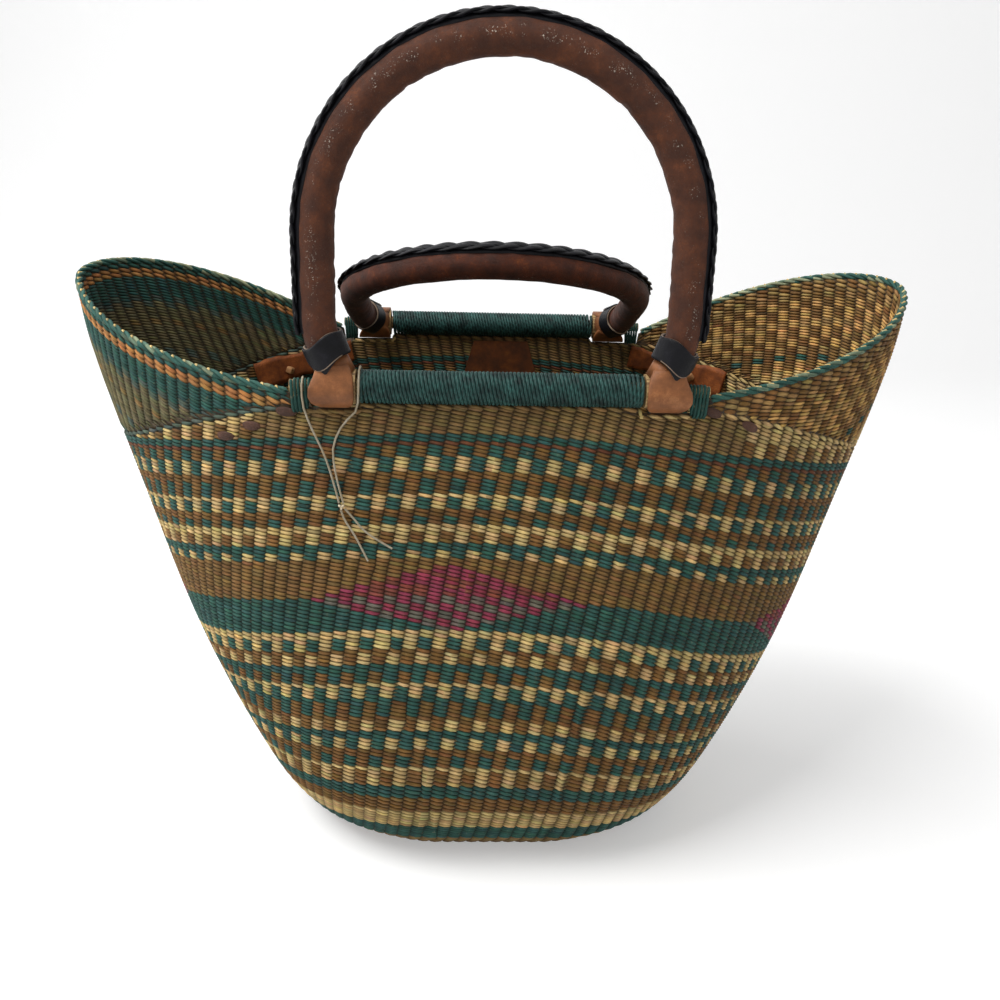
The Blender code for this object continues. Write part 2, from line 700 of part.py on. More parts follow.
def main():
    """Builds the basket."""
    clear_scene()
    looks = {
        "woven_grass": finish("woven_grass", (0.42, 0.29, 0.13), 0.75),
        "grass": finish("grass", (0.45, 0.33, 0.17), 0.8),
        "teal_cord": finish("teal_cord", (0.03, 0.16, 0.14), 0.6),
        "rim_braid": finish("rim_braid", (0.05, 0.13, 0.11), 0.7),
        "handle_leather": finish("handle_leather", (0.20, 0.06, 0.03), 0.5),
        "black_leather": finish("black_leather", (0.012, 0.012, 0.016), 0.4),
        "tan_leather": finish("tan_leather", (0.48, 0.21, 0.10), 0.55),
        "anchor_leather": finish("anchor_leather", (0.30, 0.08, 0.02), 0.5),
        "twine": finish("twine", (0.58, 0.47, 0.32), 0.8),
    }
    make_base(looks["woven_grass"])
    make_wall(looks["woven_grass"])
    for name, side in (("left", -1), ("right", 1)):
        make_wing(name + "_wing", side, looks["woven_grass"])
        make_rim_braid(name + "_rim_braid", side, looks["rim_braid"])
    for name, face in (("front", -1), ("rear", 1)):
        make_bar_core(name + "_bar_core", face, looks["grass"])
        points = winding_points(face)
        gap = least_gap(points[1:-1], WINDING_CORD, WINDING_STEPS - 2)
        print(f"{name} winding: {WINDING_TURNS} turns, least gap {gap * 1000:.2f} mm")
        tube_curve(name + "_bar_winding", points, WINDING_CORD, looks["teal_cord"], 1)
        for label, side in (("left", -1), ("right", 1)):
            anchor = f"{name}_{label}_anchor"
            make_anchor(anchor, side, face, looks["anchor_leather"])
    make_handle("front_handle", -1, 0.0, FRONT_BRAID_ROLL, looks)
    make_handle("rear_handle", 1, REAR_HANDLE_FOLD, REAR_BRAID_ROLL, looks)
    make_label(looks["anchor_leather"])
    make_twine(looks["twine"])


main()
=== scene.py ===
"""A twined straw basket with two leather handles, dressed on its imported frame.

Lengths are metres, +X right, +Y away from the viewer, +Z up, as in the frame.
"""

import logging
import math
from collections.abc import Callable
from dataclasses import dataclass, field
from enum import Enum

import bmesh
import bpy
import numpy as np
from mathutils import Matrix, Vector


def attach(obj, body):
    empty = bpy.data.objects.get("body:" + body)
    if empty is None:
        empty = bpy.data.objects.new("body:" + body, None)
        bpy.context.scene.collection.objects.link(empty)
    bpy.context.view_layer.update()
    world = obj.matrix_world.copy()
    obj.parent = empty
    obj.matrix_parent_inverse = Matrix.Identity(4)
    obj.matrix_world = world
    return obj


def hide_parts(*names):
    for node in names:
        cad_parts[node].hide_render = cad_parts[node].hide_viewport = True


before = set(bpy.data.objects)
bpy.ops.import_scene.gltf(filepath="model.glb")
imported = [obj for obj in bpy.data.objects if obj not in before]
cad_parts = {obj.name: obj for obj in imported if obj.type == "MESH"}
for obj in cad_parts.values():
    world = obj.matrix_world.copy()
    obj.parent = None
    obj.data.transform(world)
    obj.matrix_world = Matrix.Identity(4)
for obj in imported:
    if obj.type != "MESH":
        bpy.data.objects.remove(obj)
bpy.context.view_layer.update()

LOG = logging.getLogger("basket")
MM = 0.001
TIP = 0.02  # how thin a strand's cut end is, as a share of its size
DEEP = np.array([0.0, 1.0, 0.0])  # the direction away from the viewer
FULL = 2 * math.pi

Look = bpy.types.Material
Tree = bpy.types.NodeTree
Socket = bpy.types.NodeSocket
Stops = tuple[tuple[float, ...], ...]


class Body(Enum):
    """The rigid bodies that pieces ride on."""

    BASKET = "basket"
    FRONT_HANDLE = "front_handle"
    REAR_HANDLE = "rear_handle"


class Dye(Enum):
    """The straw's natural and dyed colours, as sRGB hex values."""

    NATURAL = "#866C42"
    TEAL = "#32584F"
    DEEP_TEAL = "#22443D"
    CREAM = "#C9AD74"
    BROWN = "#7C5A30"
    RED_BROWN = "#6B432B"
    OCHRE = "#806136"
    PINK = "#8E3A4C"
    ROSE_BROWN = "#84473A"
    GREY = "#6A6458"
    ORANGE = "#B27C48"
    GOLD = "#C79C5C"
    OLIVE = "#6E6748"
    SLATE = "#4F5D52"
    TAN = "#A3824F"


Bands = tuple[tuple[int, str], ...]
Rule = Callable[[np.ndarray, int], list[Dye]]


def linear(code: str) -> tuple[float, float, float]:
    """Turns an sRGB hex colour into linear light.

    Args:
        code: The colour as "#RRGGBB".

    Returns:
        Linear red, green and blue from 0 to 1.
    """
    parts = [int(code[i : i + 2], 16) / 255 for i in (1, 3, 5)]
    return tuple(c / 12.92 if c <= 0.04045 else ((c + 0.055) / 1.055) ** 2.4 for c in parts)


def add(tree: Tree, kind: str, inputs: dict | None = None, **settings: object) -> bpy.types.Node:
    """Adds a shader node with its settings and links.

    Args:
        tree: The material's node tree.
        kind: The node's type name without its Shader prefix.
        inputs: Values or output sockets by input name or number.
        settings: The node's own properties.

    Returns:
        The new node.
    """
    made = tree.nodes.new("Shader" + kind)
    for key, value in settings.items():
        setattr(made, key, value)
    for key, value in (inputs or {}).items():
        if isinstance(value, bpy.types.NodeSocket):
            tree.links.new(value, made.inputs[key])
        else:
            made.inputs[key].default_value = value
    return made


def maths(tree: Tree, operation: str, a: Socket, b: Socket | float = 0.0) -> Socket:
    """Joins two values by one of Blender's math operations.

    Args:
        tree: The node tree.
        operation: The operation's name.
        a: The first value.
        b: The second value.

    Returns:
        The result's socket.
    """
    return add(tree, "NodeMath", {0: a, 1: b}, operation=operation).outputs[0]


def scaled(tree: Tree, colour: Socket, share: Socket) -> Socket:
    """A colour made lighter or darker by a share."""
    return add(tree, "NodeVectorMath", {0: colour, "Scale": share}, operation="SCALE").outputs[0]


def blank(name: str) -> tuple[Look, Tree, bpy.types.Node]:
    """Makes a material with a bare principled shader.

    Args:
        name: The material's name.

    Returns:
        The material, its tree and its shader node.
    """
    look = bpy.data.materials.new(name)
    look.use_nodes = True
    return look, look.node_tree, look.node_tree.nodes["Principled BSDF"]


def mixed(tree: Tree, share: Socket | float, a: Socket | str, b: Socket | str) -> Socket:
    """Mixes two colours.

    Args:
        tree: The node tree.
        share: How much of b, a number or a socket.
        a: The first colour, as a hex value or a socket.
        b: The second colour, as a hex value or a socket.

    Returns:
        The mixed colour's socket.
    """
    a, b = ((*linear(c), 1.0) if isinstance(c, str) else c for c in (a, b))
    return add(tree, "NodeMix", {0: share, 6: a, 7: b}, data_type="RGBA").outputs[2]


def spread(tree: Tree, value: Socket, low: float, high: float, to_low: float = 0.0,
           to_high: float = 1.0) -> Socket:
    """Maps a range of values to another one.

    Args:
        tree: The node tree.
        value: The socket to read.
        low: The value that becomes to_low.
        high: The value that becomes to_high.
        to_low: The low end of the result.
        to_high: The high end of the result.

    Returns:
        The mapped value's socket.
    """
    inputs = {0: value, 1: low, 2: high, 3: to_low, 4: to_high}
    return add(tree, "NodeMapRange", inputs).outputs[0]


def noise(tree: Tree, vector: Socket, cell: float, detail: float = 3.0,
          rough: float = 0.55) -> Socket:
    """Adds a noise whose lumps are about cell metres wide.

    Args:
        tree: The node tree.
        vector: The coordinates' socket, in metres.
        cell: The width of a lump.
        detail: How many finer layers lie on it.
        rough: How strong those layers are.

    Returns:
        The noise value's socket.
    """
    inputs = {"Vector": vector, "Scale": 1 / cell, "Detail": detail, "Roughness": rough}
    return add(tree, "NodeTexNoise", inputs).outputs[0]


def bump(tree: Tree, height: Socket, depth: float, shader: bpy.types.Node,
         strength: float = 1.0, below: Socket | None = None) -> Socket:
    """Adds a bump of a real depth to a shader.

    Args:
        tree: The node tree.
        height: The socket with the pattern, from 0 to 1.
        depth: The pattern's depth in metres.
        shader: The shader that gets it.
        strength: How strongly it shows.
        below: A bump's normal that this one lies on.

    Returns:
        The bumped normal's socket.
    """
    inputs = {"Height": height, "Distance": depth, "Strength": strength}
    if below is not None:
        inputs["Normal"] = below
    made = add(tree, "NodeBump", inputs).outputs[0]
    tree.links.new(made, shader.inputs["Normal"])
    return made


@dataclass(frozen=True)
class TwinedStraw:
    """Split grass straw, rolled on the thigh, dyed and twined by hand.

    Each strand has its own tone, fine lengthwise fibres that catch the light, and painted shade
    where it dives under its neighbour and along its flanks between rows. Straw is dull with a faint waxy
    sheen.
    """

    name: str = "elephant_grass_hand_twined"
    fibre: float = 0.35 * MM
    fibre_length: float = 5 * MM
    patch: float = 32 * MM
    dust: str = "#B9A57C"
    roughness: float = 0.72
    gloss: float = 0.22

    def build(self) -> Look:
        """Makes the material; it reads the strand_colour, crown and weave layers, and paints shade from
        the crown layer.
        """
        look, tree, shader = blank(self.name)
        colour = add(tree, "NodeAttribute", attribute_name="strand_colour").outputs["Color"]
        crown = add(tree, "NodeAttribute", attribute_name="crown").outputs["Fac"]
        along = add(tree, "NodeUVMap", uv_map="weave").outputs[0]
        stretch = add(tree, "NodeMapping", {0: along, 3: (self.fibre / self.fibre_length, 1, 1)})
        fibres = noise(tree, stretch.outputs[0], self.fibre, 2.0, 0.6)
        place = add(tree, "NodeTexCoord").outputs["Object"]
        # Fibres are light and dark, a stitch is darkened with painted shade where it dives and on its
        # flanks, and patches are worn.
        shade = spread(tree, fibres, 0.3, 0.7, 0.58, 1.3)
        painted_crevice_shade = spread(tree, crown, 0.35, 0.92, 0.10, 1.0)
        wear = spread(tree, noise(tree, place, self.patch), 0.3, 0.7, 0.86, 1.1)
        tone_and_painted_shade = maths(tree, "MULTIPLY", maths(tree, "MULTIPLY", shade, painted_crevice_shade), wear)
        dust = spread(tree, noise(tree, place, 2.2 * MM, 2.0), 0.62, 0.8, 0.0, 0.18)
        tree.links.new(mixed(tree, dust, scaled(tree, colour, tone_and_painted_shade), self.dust),
                       shader.inputs["Base Color"])
        shader.inputs["Roughness"].default_value = self.roughness
        shader.inputs["Specular IOR Level"].default_value = self.gloss
        bump(tree, fibres, 0.16 * MM, shader)
        return look


@dataclass(frozen=True)
class TwistedCord:
    """A two-ply cord, twisted from dyed straw, that shows slanting plies, painted shade in the grooves
    between them, and loose fibres.
    """

    name: str
    light: str
    dark: str
    ply: float = 2.6 * MM
    lean: float = 1.0
    fibre: float = 0.3 * MM
    roughness: float = 0.55
    gloss: float = 0.25

    def build(self) -> Look:
        """Makes the material; it reads the weave layer, along and round the cord in metres."""
        look, tree, shader = blank(self.name)
        along = add(tree, "NodeUVMap", uv_map="weave").outputs[0]
        turned = add(tree, "NodeMapping", {0: along, 2: (0, 0, math.atan(self.lean))}).outputs[0]
        # A wave's bands lie 2 pi units of its scale apart, divided by its factor of 20.
        waves = {"Vector": turned, "Scale": FULL / 20 / self.ply, "Distortion": 0.6, "Detail Scale": 0.4}
        plies = add(tree, "NodeTexWave", waves).outputs[1]
        stretch = add(tree, "NodeMapping", {0: turned, 3: (1, 0.12, 1)}).outputs[0]
        fibres = noise(tree, stretch, self.fibre, 2.0)
        place = add(tree, "NodeTexCoord").outputs["Object"]
        patches = spread(tree, noise(tree, place, 6 * MM), 0.3, 0.75)
        shade = spread(tree, fibres, 0.3, 0.7, 0.65, 1.25)
        # The grooves between the plies are darkened as painted shade.
        painted_groove_shade = spread(tree, plies, 0.0, 0.45, 0.4, 1.0)
        tint = scaled(tree, mixed(tree, patches, self.dark, self.light),
                      maths(tree, "MULTIPLY", shade, painted_groove_shade))
        tree.links.new(tint, shader.inputs["Base Color"])
        shader.inputs["Roughness"].default_value = self.roughness
        shader.inputs["Specular IOR Level"].default_value = self.gloss
        bump(tree, maths(tree, "ADD", plies, fibres), 0.18 * MM, shader)
        return look


@dataclass(frozen=True)
class Leather:
    """Vegetable-tanned goat leather, hand cut; the grain, wear and sheen are its own."""

    name: str
    colour: str
    dark: str
    pale: str
    grain: float = 0.9 * MM
    patch: float = 9 * MM
    depth: float = 0.22 * MM
    roughness: float = 0.6
    specks: float = 0.0
    speck_line: float = 42.4 * MM
    scuffed: str = "#D9CFC0"
    sheen: float = 0.0
    gloss: float = 0.28

    def specked(self, tree: Tree, place: Socket, colour: Socket) -> Socket:
        """Lays pale scuffed specks along one line of a rolled piece.

        Args:
            tree: The node tree.
            place: The Object coordinates.
            colour: The leather's colour.

        Returns:
            The colour with its specks.
        """
        fine = noise(tree, place, 0.8 * MM, 2.0, 0.7)
        cluster = spread(tree, noise(tree, place, 7 * MM, 2.0), 0.46, 0.62)
        spots = spread(tree, fine, 0.62, 0.68, 0.0, self.specks)
        layer = add(tree, "NodeUVMap", uv_map="weave").outputs[0]
        across = add(tree, "NodeSeparateXYZ", {0: layer}).outputs[1]
        off = maths(tree, "ABSOLUTE", maths(tree, "SUBTRACT", across, self.speck_line))
        near = spread(tree, off, 1.2 * MM, 3.6 * MM, 1.0, 0.06)
        share = maths(tree, "MULTIPLY", maths(tree, "MULTIPLY", cluster, spots), near)
        return mixed(tree, share, colour, self.scuffed)

    def build(self) -> Look:
        """Makes the material; the patterns lie on Object coordinates."""
        look, tree, shader = blank(self.name)
        place = add(tree, "NodeTexCoord").outputs["Object"]
        patches = noise(tree, place, self.patch, 4.0, 0.65)
        grain = noise(tree, place, self.grain, 3.0, 0.6)
        pits = add(tree, "NodeTexVoronoi", {"Vector": place, "Scale": 1 / self.grain},
                   feature="DISTANCE_TO_EDGE").outputs[0]
        colour = mixed(tree, spread(tree, patches, 0.36, 0.62), self.dark, self.colour)
        colour = mixed(tree, spread(tree, patches, 0.58, 0.76, 0.0, 0.55), colour, self.pale)
        colour = mixed(tree, spread(tree, grain, 0.62, 0.4, 0.0, 0.45), colour, self.dark)
        if self.specks:
            colour = self.specked(tree, place, colour)
        tree.links.new(colour, shader.inputs["Base Color"])
        worn_grain = spread(tree, grain, 0.3, 0.7, self.roughness - 0.08, self.roughness + 0.1)
        tree.links.new(worn_grain, shader.inputs["Roughness"])
        shader.inputs["Specular IOR Level"].default_value = self.gloss
        shader.inputs["Sheen Weight"].default_value = self.sheen
        low = bump(tree, grain, self.depth, shader)
        bump(tree, spread(tree, pits, 0.0, 0.12), self.depth * 0.4, shader, 0.6, low)
        return look


@dataclass(frozen=True)
class GrassBundle:
    """A turned bundle of stiff grass stalks, dry and pale, with fine stalk lines; a dark copy of it
    paints shade on the stakes in the weave.
    """

    name: str = "grass_stalks_bundled"
    pale: str = "#B99A66"
    dark: str = "#6E5232"
    stalk: float = 1.2 * MM

    def build(self) -> Look:
        """Makes the material, with stalks along the X direction."""
        look, tree, shader = blank(self.name)
        place = add(tree, "NodeTexCoord").outputs["Object"]
        drawn = add(tree, "NodeMapping", {0: place, 3: (0.06, 1, 1)}).outputs[0]
        stalks = noise(tree, drawn, self.stalk, 2.0)
        share = spread(tree, stalks, 0.35, 0.65)
        tree.links.new(mixed(tree, share, self.dark, self.pale), shader.inputs["Base Color"])
        shader.inputs["Roughness"].default_value = 0.65
        bump(tree, stalks, 0.3 * MM, shader)
        return look


def stations_at(stations: np.ndarray, z: np.ndarray) -> np.ndarray:
    """Reads the smooth curve through (height, size) stations.

    Args:
        stations: An array of heights and sizes.
        z: The heights to read.

    Returns:
        The size at each height.
    """
    spots, sizes = stations[:, 0], stations[:, 1]
    last = len(spots) - 1
    slopes = np.array([
        (sizes[min(i + 1, last)] - sizes[max(i - 1, 0)])
        / (spots[min(i + 1, last)] - spots[max(i - 1, 0)])
        for i in range(last + 1)
    ])
    k = np.clip(np.searchsorted(spots, z, side="left") - 1, 0, last - 1)
    run = spots[k + 1] - spots[k]
    t = (z - spots[k]) / run
    start = sizes[k] * (1 + 2 * t) * (1 - t) ** 2 + run * slopes[k] * t * (1 - t) ** 2
    end = sizes[k + 1] * t * t * (3 - 2 * t) - run * slopes[k + 1] * t * t * (1 - t)
    return start + end


@dataclass(frozen=True)
class Skin:
    """The basket's round skin as the frame has it: outline, seams, rims and bar seats.

    A place on it is a number g from 0 to 8 round the basket, seen from above against the
    clock: 0 is the front's middle, 2 the right side, 4 the rear's middle, 6 the left side.
    """

    bar_height: float = 0.308
    base: tuple[float, float] = (0.106, 0.071)
    heel: tuple[float, float, float] = (0.06, 0.133, 0.090)
    lower: tuple[float, float, float] = (0.20, 0.158, 0.111)
    middle: tuple[float, float, float] = (0.45, 0.192, 0.1205)
    upper: tuple[float, float, float] = (0.75, 0.221, 0.1185)
    mouth: tuple[float, float] = (0.243, 0.1145)
    tip_half_width: float = 0.250
    tip_rise: float = 0.045
    flat: tuple[float, float] = (0.030, 0.080)  # half the straight front, low and high
    point: tuple[float, float] = (1.0, 1.16)
    thickness: float = 0.004
    seat: float = 0.29895
    notch: float = 0.29645
    notch_start: float = 0.073
    wing_start: float = 0.107
    seam_drop: float = 0.040
    seam_power: float = 1.3
    rim_start: float = 0.306
    rear_lift: float = 0.030

    @property
    def midway(self) -> float:
        """How far the middle of the wall lies inside its outer face."""
        return self.thickness / 2

    def curve(self, which: int) -> np.ndarray:
        """The (height, size) stations: which is 0 for half widths and 1 for half depths."""
        inner = [(s[0] * self.bar_height, s[1 + which])
                 for s in (self.heel, self.lower, self.middle, self.upper)]
        tip = (self.tip_half_width, self.mouth[1])[which]
        ends = [(self.bar_height, self.mouth[which]), (self.bar_height + self.tip_rise, tip)]
        return np.array([(0.0, self.base[which])] + inner + ends)

    def size(self, which: int, z: np.ndarray, inset: float) -> np.ndarray:
        """A half size at heights, a distance inside the outer face.

        Args:
            which: 0 for the half width, 1 for the half depth.
            z: The heights.
            inset: The distance inside the outer face.

        Returns:
            The half sizes.
        """
        stations = self.curve(which)
        step = 1 * MM
        at = stations_at(stations, z)
        slope = (stations_at(stations, z + step) - at) / step
        return at - inset * np.hypot(1.0, slope)

    def spot(self, g: np.ndarray, z: np.ndarray, inset: float = 0.0) -> np.ndarray:
        """Points of the skin.

        Args:
            g: The places round the basket.
            z: The heights.
            inset: How far inside the outer face.

        Returns:
            An array of points.
        """
        g = np.mod(np.asarray(g, float), 8.0)
        z = np.broadcast_to(np.asarray(z, float), g.shape)
        quarter = np.floor(g / 2).astype(int)
        column = np.where(quarter % 2 == 0, g - 2 * quarter, 2 * quarter + 2 - g)
        side = np.where(g < 4, 1.0, -1.0)
        face = np.where((g > 2) & (g < 6), 1.0, -1.0)
        share = np.clip(z / self.bar_height, None, 1.0)
        flat = self.flat[0] + (self.flat[1] - self.flat[0]) * share
        power = self.point[0] + (self.point[1] - self.point[0]) * share
        turn = np.clip(column - 1, 0, None) * math.pi / 2
        width, depth = self.size(0, z, inset), self.size(1, z, inset)
        x = flat * np.minimum(column, 1) + (width - flat) * np.sin(turn) ** power
        y = depth * np.clip(np.cos(turn), 0, None) ** power
        return np.stack([side * x, face * y, z], axis=1)

    def facing(self, g: np.ndarray, z: np.ndarray, inset: float) -> tuple[np.ndarray, np.ndarray]:
        """Points of the skin, and the downward directions there.

        Args:
            g: The places round the basket.
            z: The heights.
            inset: How far inside the outer face.

        Returns:
            The points and the directions.
        """
        step = 0.5 * MM
        down = self.spot(g, z - step, inset) - self.spot(g, z + step, inset)
        return self.spot(g, z, inset), unit(down)

    def aside(self, g: np.ndarray) -> np.ndarray:
        """How far to the side places lie, at the bars' height."""
        return np.abs(self.spot(g, self.bar_height)[:, 0])

    def wing_share(self, g: np.ndarray) -> np.ndarray:
        """0 up to a wing's start, 1 at its tip."""
        return np.clip((self.aside(g) - self.wing_start) / (self.mouth[0] - self.wing_start), 0, 1)

    def seam(self, g: np.ndarray) -> np.ndarray:
        """The height of the seam between the wall and a wing."""
        return self.notch - self.seam_drop * self.wing_share(g) ** self.seam_power

    def rim(self, g: np.ndarray) -> np.ndarray:
        """The height of a wing's braided edge."""
        share = self.wing_share(g)
        rear = self.spot(g, self.bar_height)[:, 1] / self.mouth[1]
        rise = self.bar_height + self.tip_rise - self.rim_start
        return self.rim_start + rise * share + self.rear_lift * share * rear

    def edge(self, g: np.ndarray) -> np.ndarray:
        """The height of the wall's edge."""
        return np.where(self.aside(g) <= self.notch_start, self.seat, self.seam(g))


@dataclass
class Strand:
    """One strand's path: its middle line, its two directions and its sizes and shades."""

    middle: np.ndarray
    out: np.ndarray
    down: np.ndarray
    half_out: np.ndarray
    half_down: np.ndarray
    colours: np.ndarray
    crown: np.ndarray
    closed: bool


def unit(v: np.ndarray) -> np.ndarray:
    """Vectors of length 1."""
    return v / np.maximum(np.linalg.norm(v, axis=1, keepdims=True), 1e-12)


def along_line(points: np.ndarray, closed: bool = False) -> np.ndarray:
    """The direction of a line at each of its points."""
    if closed:
        return unit(np.roll(points, -1, 0) - np.roll(points, 1, 0))
    return unit(np.gradient(points, axis=0))


def distances(line: np.ndarray) -> np.ndarray:
    """How far along a line each of its points lies."""
    return np.concatenate([[0], np.cumsum(np.linalg.norm(np.diff(line, axis=0), axis=1))])


def read_line(line: np.ndarray, run: np.ndarray, at: np.ndarray) -> np.ndarray:
    """The points of a line at some distances along it.

    Args:
        line: The line's points.
        run: How far along each of them lies.
        at: The distances to read.

    Returns:
        The points there.
    """
    return np.stack([np.interp(at, run, line[:, i]) for i in range(3)], axis=1)


def laced(middle: np.ndarray, facing: np.ndarray, thick: np.ndarray | float,
          wide: np.ndarray | float, colours: np.ndarray, closed: bool = False) -> Strand:
    """A strand that keeps one side toward a direction.

    Args:
        middle: Its middle line.
        facing: The direction that the side faces, at each point.
        thick: Its half size that way.
        wide: Its half size across.
        colours: The colour of each stretch.
        closed: Whether it is a ring. If not, its cut ends are drawn in.

    Returns:
        The strand.
    """
    lead = along_line(middle, closed)
    side = unit(np.cross(lead, facing))
    half_out, half_down = (np.broadcast_to(size, len(middle)).copy() for size in (thick, wide))
    if not closed:
        half_out[[0, -1]] *= TIP
        half_down[[0, -1]] *= TIP
    return Strand(middle, unit(np.cross(side, lead)), side, half_out, half_down, colours,
                  np.ones(len(middle)), closed)


def mesh_of(bm: bmesh.types.BMesh, name: str) -> bpy.types.Mesh:
    """Moves a finished bmesh into a new mesh."""
    mesh = bpy.data.meshes.new(name)
    bm.to_mesh(mesh)
    bm.free()
    return mesh


def grid(name: str, spots: np.ndarray) -> bpy.types.Mesh:
    """A grid laid over points, given as (lines, points in a line, 3)."""
    bm = bmesh.new()
    bmesh.ops.create_grid(bm, x_segments=spots.shape[1] - 1, y_segments=spots.shape[0] - 1, size=1.0)
    mesh = mesh_of(bm, name)
    mesh.vertices.foreach_set("co", spots.astype(np.float32).ravel())
    return mesh


def lay_out(mesh: bpy.types.Mesh, **layers: np.ndarray) -> None:
    """Writes UV layers by name, from a pair of numbers for each vertex."""
    corner = np.zeros(len(mesh.loops), np.int32)
    mesh.loops.foreach_get("vertex_index", corner)
    for label, values in layers.items():
        layer = mesh.uv_layers.new(name=label)
        layer.uv.foreach_set("vector", values[corner].astype(np.float32).ravel())


@dataclass
class StrandPiece:
    """Many strands as one mesh. Each is a grid rolled up to a tube and welded."""

    name: str
    sides: int = 5
    strands: list[Strand] = field(default_factory=list)
    painted_flank_shade: float = 0.22  # how much lower a strand's crown value is on its flanks, which the straw's finish paints as shade between rows
    fibre_shift: float = 13.7 * MM  # from one strand's fibres to the next one's
    margins: tuple[float, float] = (0.002, 0.06)  # round a strand's own field in the bake's layer

    def build(self, *looks: Look) -> bpy.types.Object:
        """Makes the piece.

        Args:
            looks: Its materials.

        Returns:
            The object, with the strand_colour, crown, weave and OFBake layers.
        """
        bm = bmesh.new()
        turns = np.linspace(0.0, FULL, self.sides + 1)
        spots, crowns, colours, weave, atlas = [], [], [], [], []
        for number, s in enumerate(self.strands):
            parts = [s.middle, s.out, s.down, s.half_out, s.half_down, s.crown]
            if s.closed:
                parts = [np.concatenate([p, p[:1]]) for p in parts]
            middle, out, down, half_out, half_down, crown = parts
            bmesh.ops.create_grid(bm, x_segments=self.sides, y_segments=len(middle) - 1, size=1.0)
            reach = out[:, None, :] * (half_out[:, None] * np.cos(turns))[:, :, None]
            fall = down[:, None, :] * (half_down[:, None] * np.sin(turns))[:, :, None]
            spots.append((middle[:, None, :] + reach + fall).reshape(-1, 3))
            # The flanks get a lower crown value, which the straw's finish paints as shade between rows.
            crowns.append((crown[:, None] + self.painted_flank_shade * (np.abs(np.cos(turns)) - 1)).ravel())
            run = distances(middle)
            shift = self.fibre_shift * number
            around = turns * float(np.mean(half_down)) + shift
            end, edge = self.margins
            high = (number + edge + (1 - 2 * edge) * turns / FULL) / len(self.strands)
            wide = end + (1 - 2 * end) * run / run[-1]
            for layer, u, v in ((weave, run + shift, around), (atlas, wide, high)):
                layer.append(np.stack(np.broadcast_arrays(u[:, None], v[None, :]), 2).reshape(-1, 2))
            colours.append(np.repeat(s.colours, self.sides, axis=0))
        mesh = mesh_of(bm, self.name)
        mesh.vertices.foreach_set("co", np.concatenate(spots).astype(np.float32).ravel())
        lay_out(mesh, OFBake=np.concatenate(atlas), weave=np.concatenate(weave))
        shade = mesh.attributes.new("strand_colour", "FLOAT_COLOR", "FACE")
        full = np.concatenate(colours)
        full = np.concatenate([full, np.ones((len(full), 1))], axis=1)
        shade.data.foreach_set("color", full.astype(np.float32).ravel())
        height = mesh.attributes.new("crown", "FLOAT", "POINT")
        height.data.foreach_set("value", np.concatenate(crowns).astype(np.float32))
        return welded(self.name, mesh, *looks)


def linked(name: str, data: bpy.types.ID) -> bpy.types.Object:
    """A new object in the scene, at the origin."""
    made = bpy.data.objects.new(name, data)
    bpy.context.scene.collection.objects.link(made)
    return made


def welded(name: str, mesh: bpy.types.Mesh, *looks: Look) -> bpy.types.Object:
    """Merges a mesh's doubles and makes it an object, smooth and facing outwards.

    Args:
        name: The piece's name.
        mesh: The mesh, with its seams and poles still open.
        looks: Its materials.

    Returns:
        The object.
    """
    bm = bmesh.new()
    bm.from_mesh(mesh)
    bmesh.ops.remove_doubles(bm, verts=bm.verts, dist=1e-6)
    bmesh.ops.dissolve_degenerate(bm, dist=1e-7, edges=bm.edges)
    bmesh.ops.recalc_face_normals(bm, faces=bm.faces)
    bm.to_mesh(mesh)
    bm.free()
    mesh.shade_smooth()
    mesh.name = name
    for look in looks:
        mesh.materials.append(look)
    return linked(name, mesh)


def placed(made: bpy.types.Object, body: Body, slot: str, *nodes: str) -> bpy.types.Object:
    """Hangs a piece on its body and hides the frame's nodes that it stands for.

    Args:
        made: The piece.
        body: The body it rides on.
        slot: The name of a material slot; not used.
        nodes: The frame's nodes that it replaces.

    Returns:
        The piece.
    """
    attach(made, body.value)
    if nodes:
        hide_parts(*nodes)
    LOG.info("%s rides on %s", made.name, body.value)
    return made


def stake_sheet(name: str, mesh: bpy.types.Mesh, look: Look, thickness: float) -> None:
    """Makes a thin closed sheet of stakes, which fills the weave from within; its dark finish is painted
    shade in the gaps between strands.

    Args:
        name: The piece's name.
        mesh: The sheet's middle.
        look: Its finish.
        thickness: Its thickness.
    """
    made = welded(name, mesh, look)
    thick = made.modifiers.new("stake thickness", "SOLIDIFY")
    thick.thickness = thickness
    thick.offset = 0.0
    placed(made, Body.BASKET, "grass")


def dress(node: str, look: Look) -> None:
    """Gives one of the frame's own nodes a finish."""
    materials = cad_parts[node].data.materials
    materials.clear()
    materials.append(look)


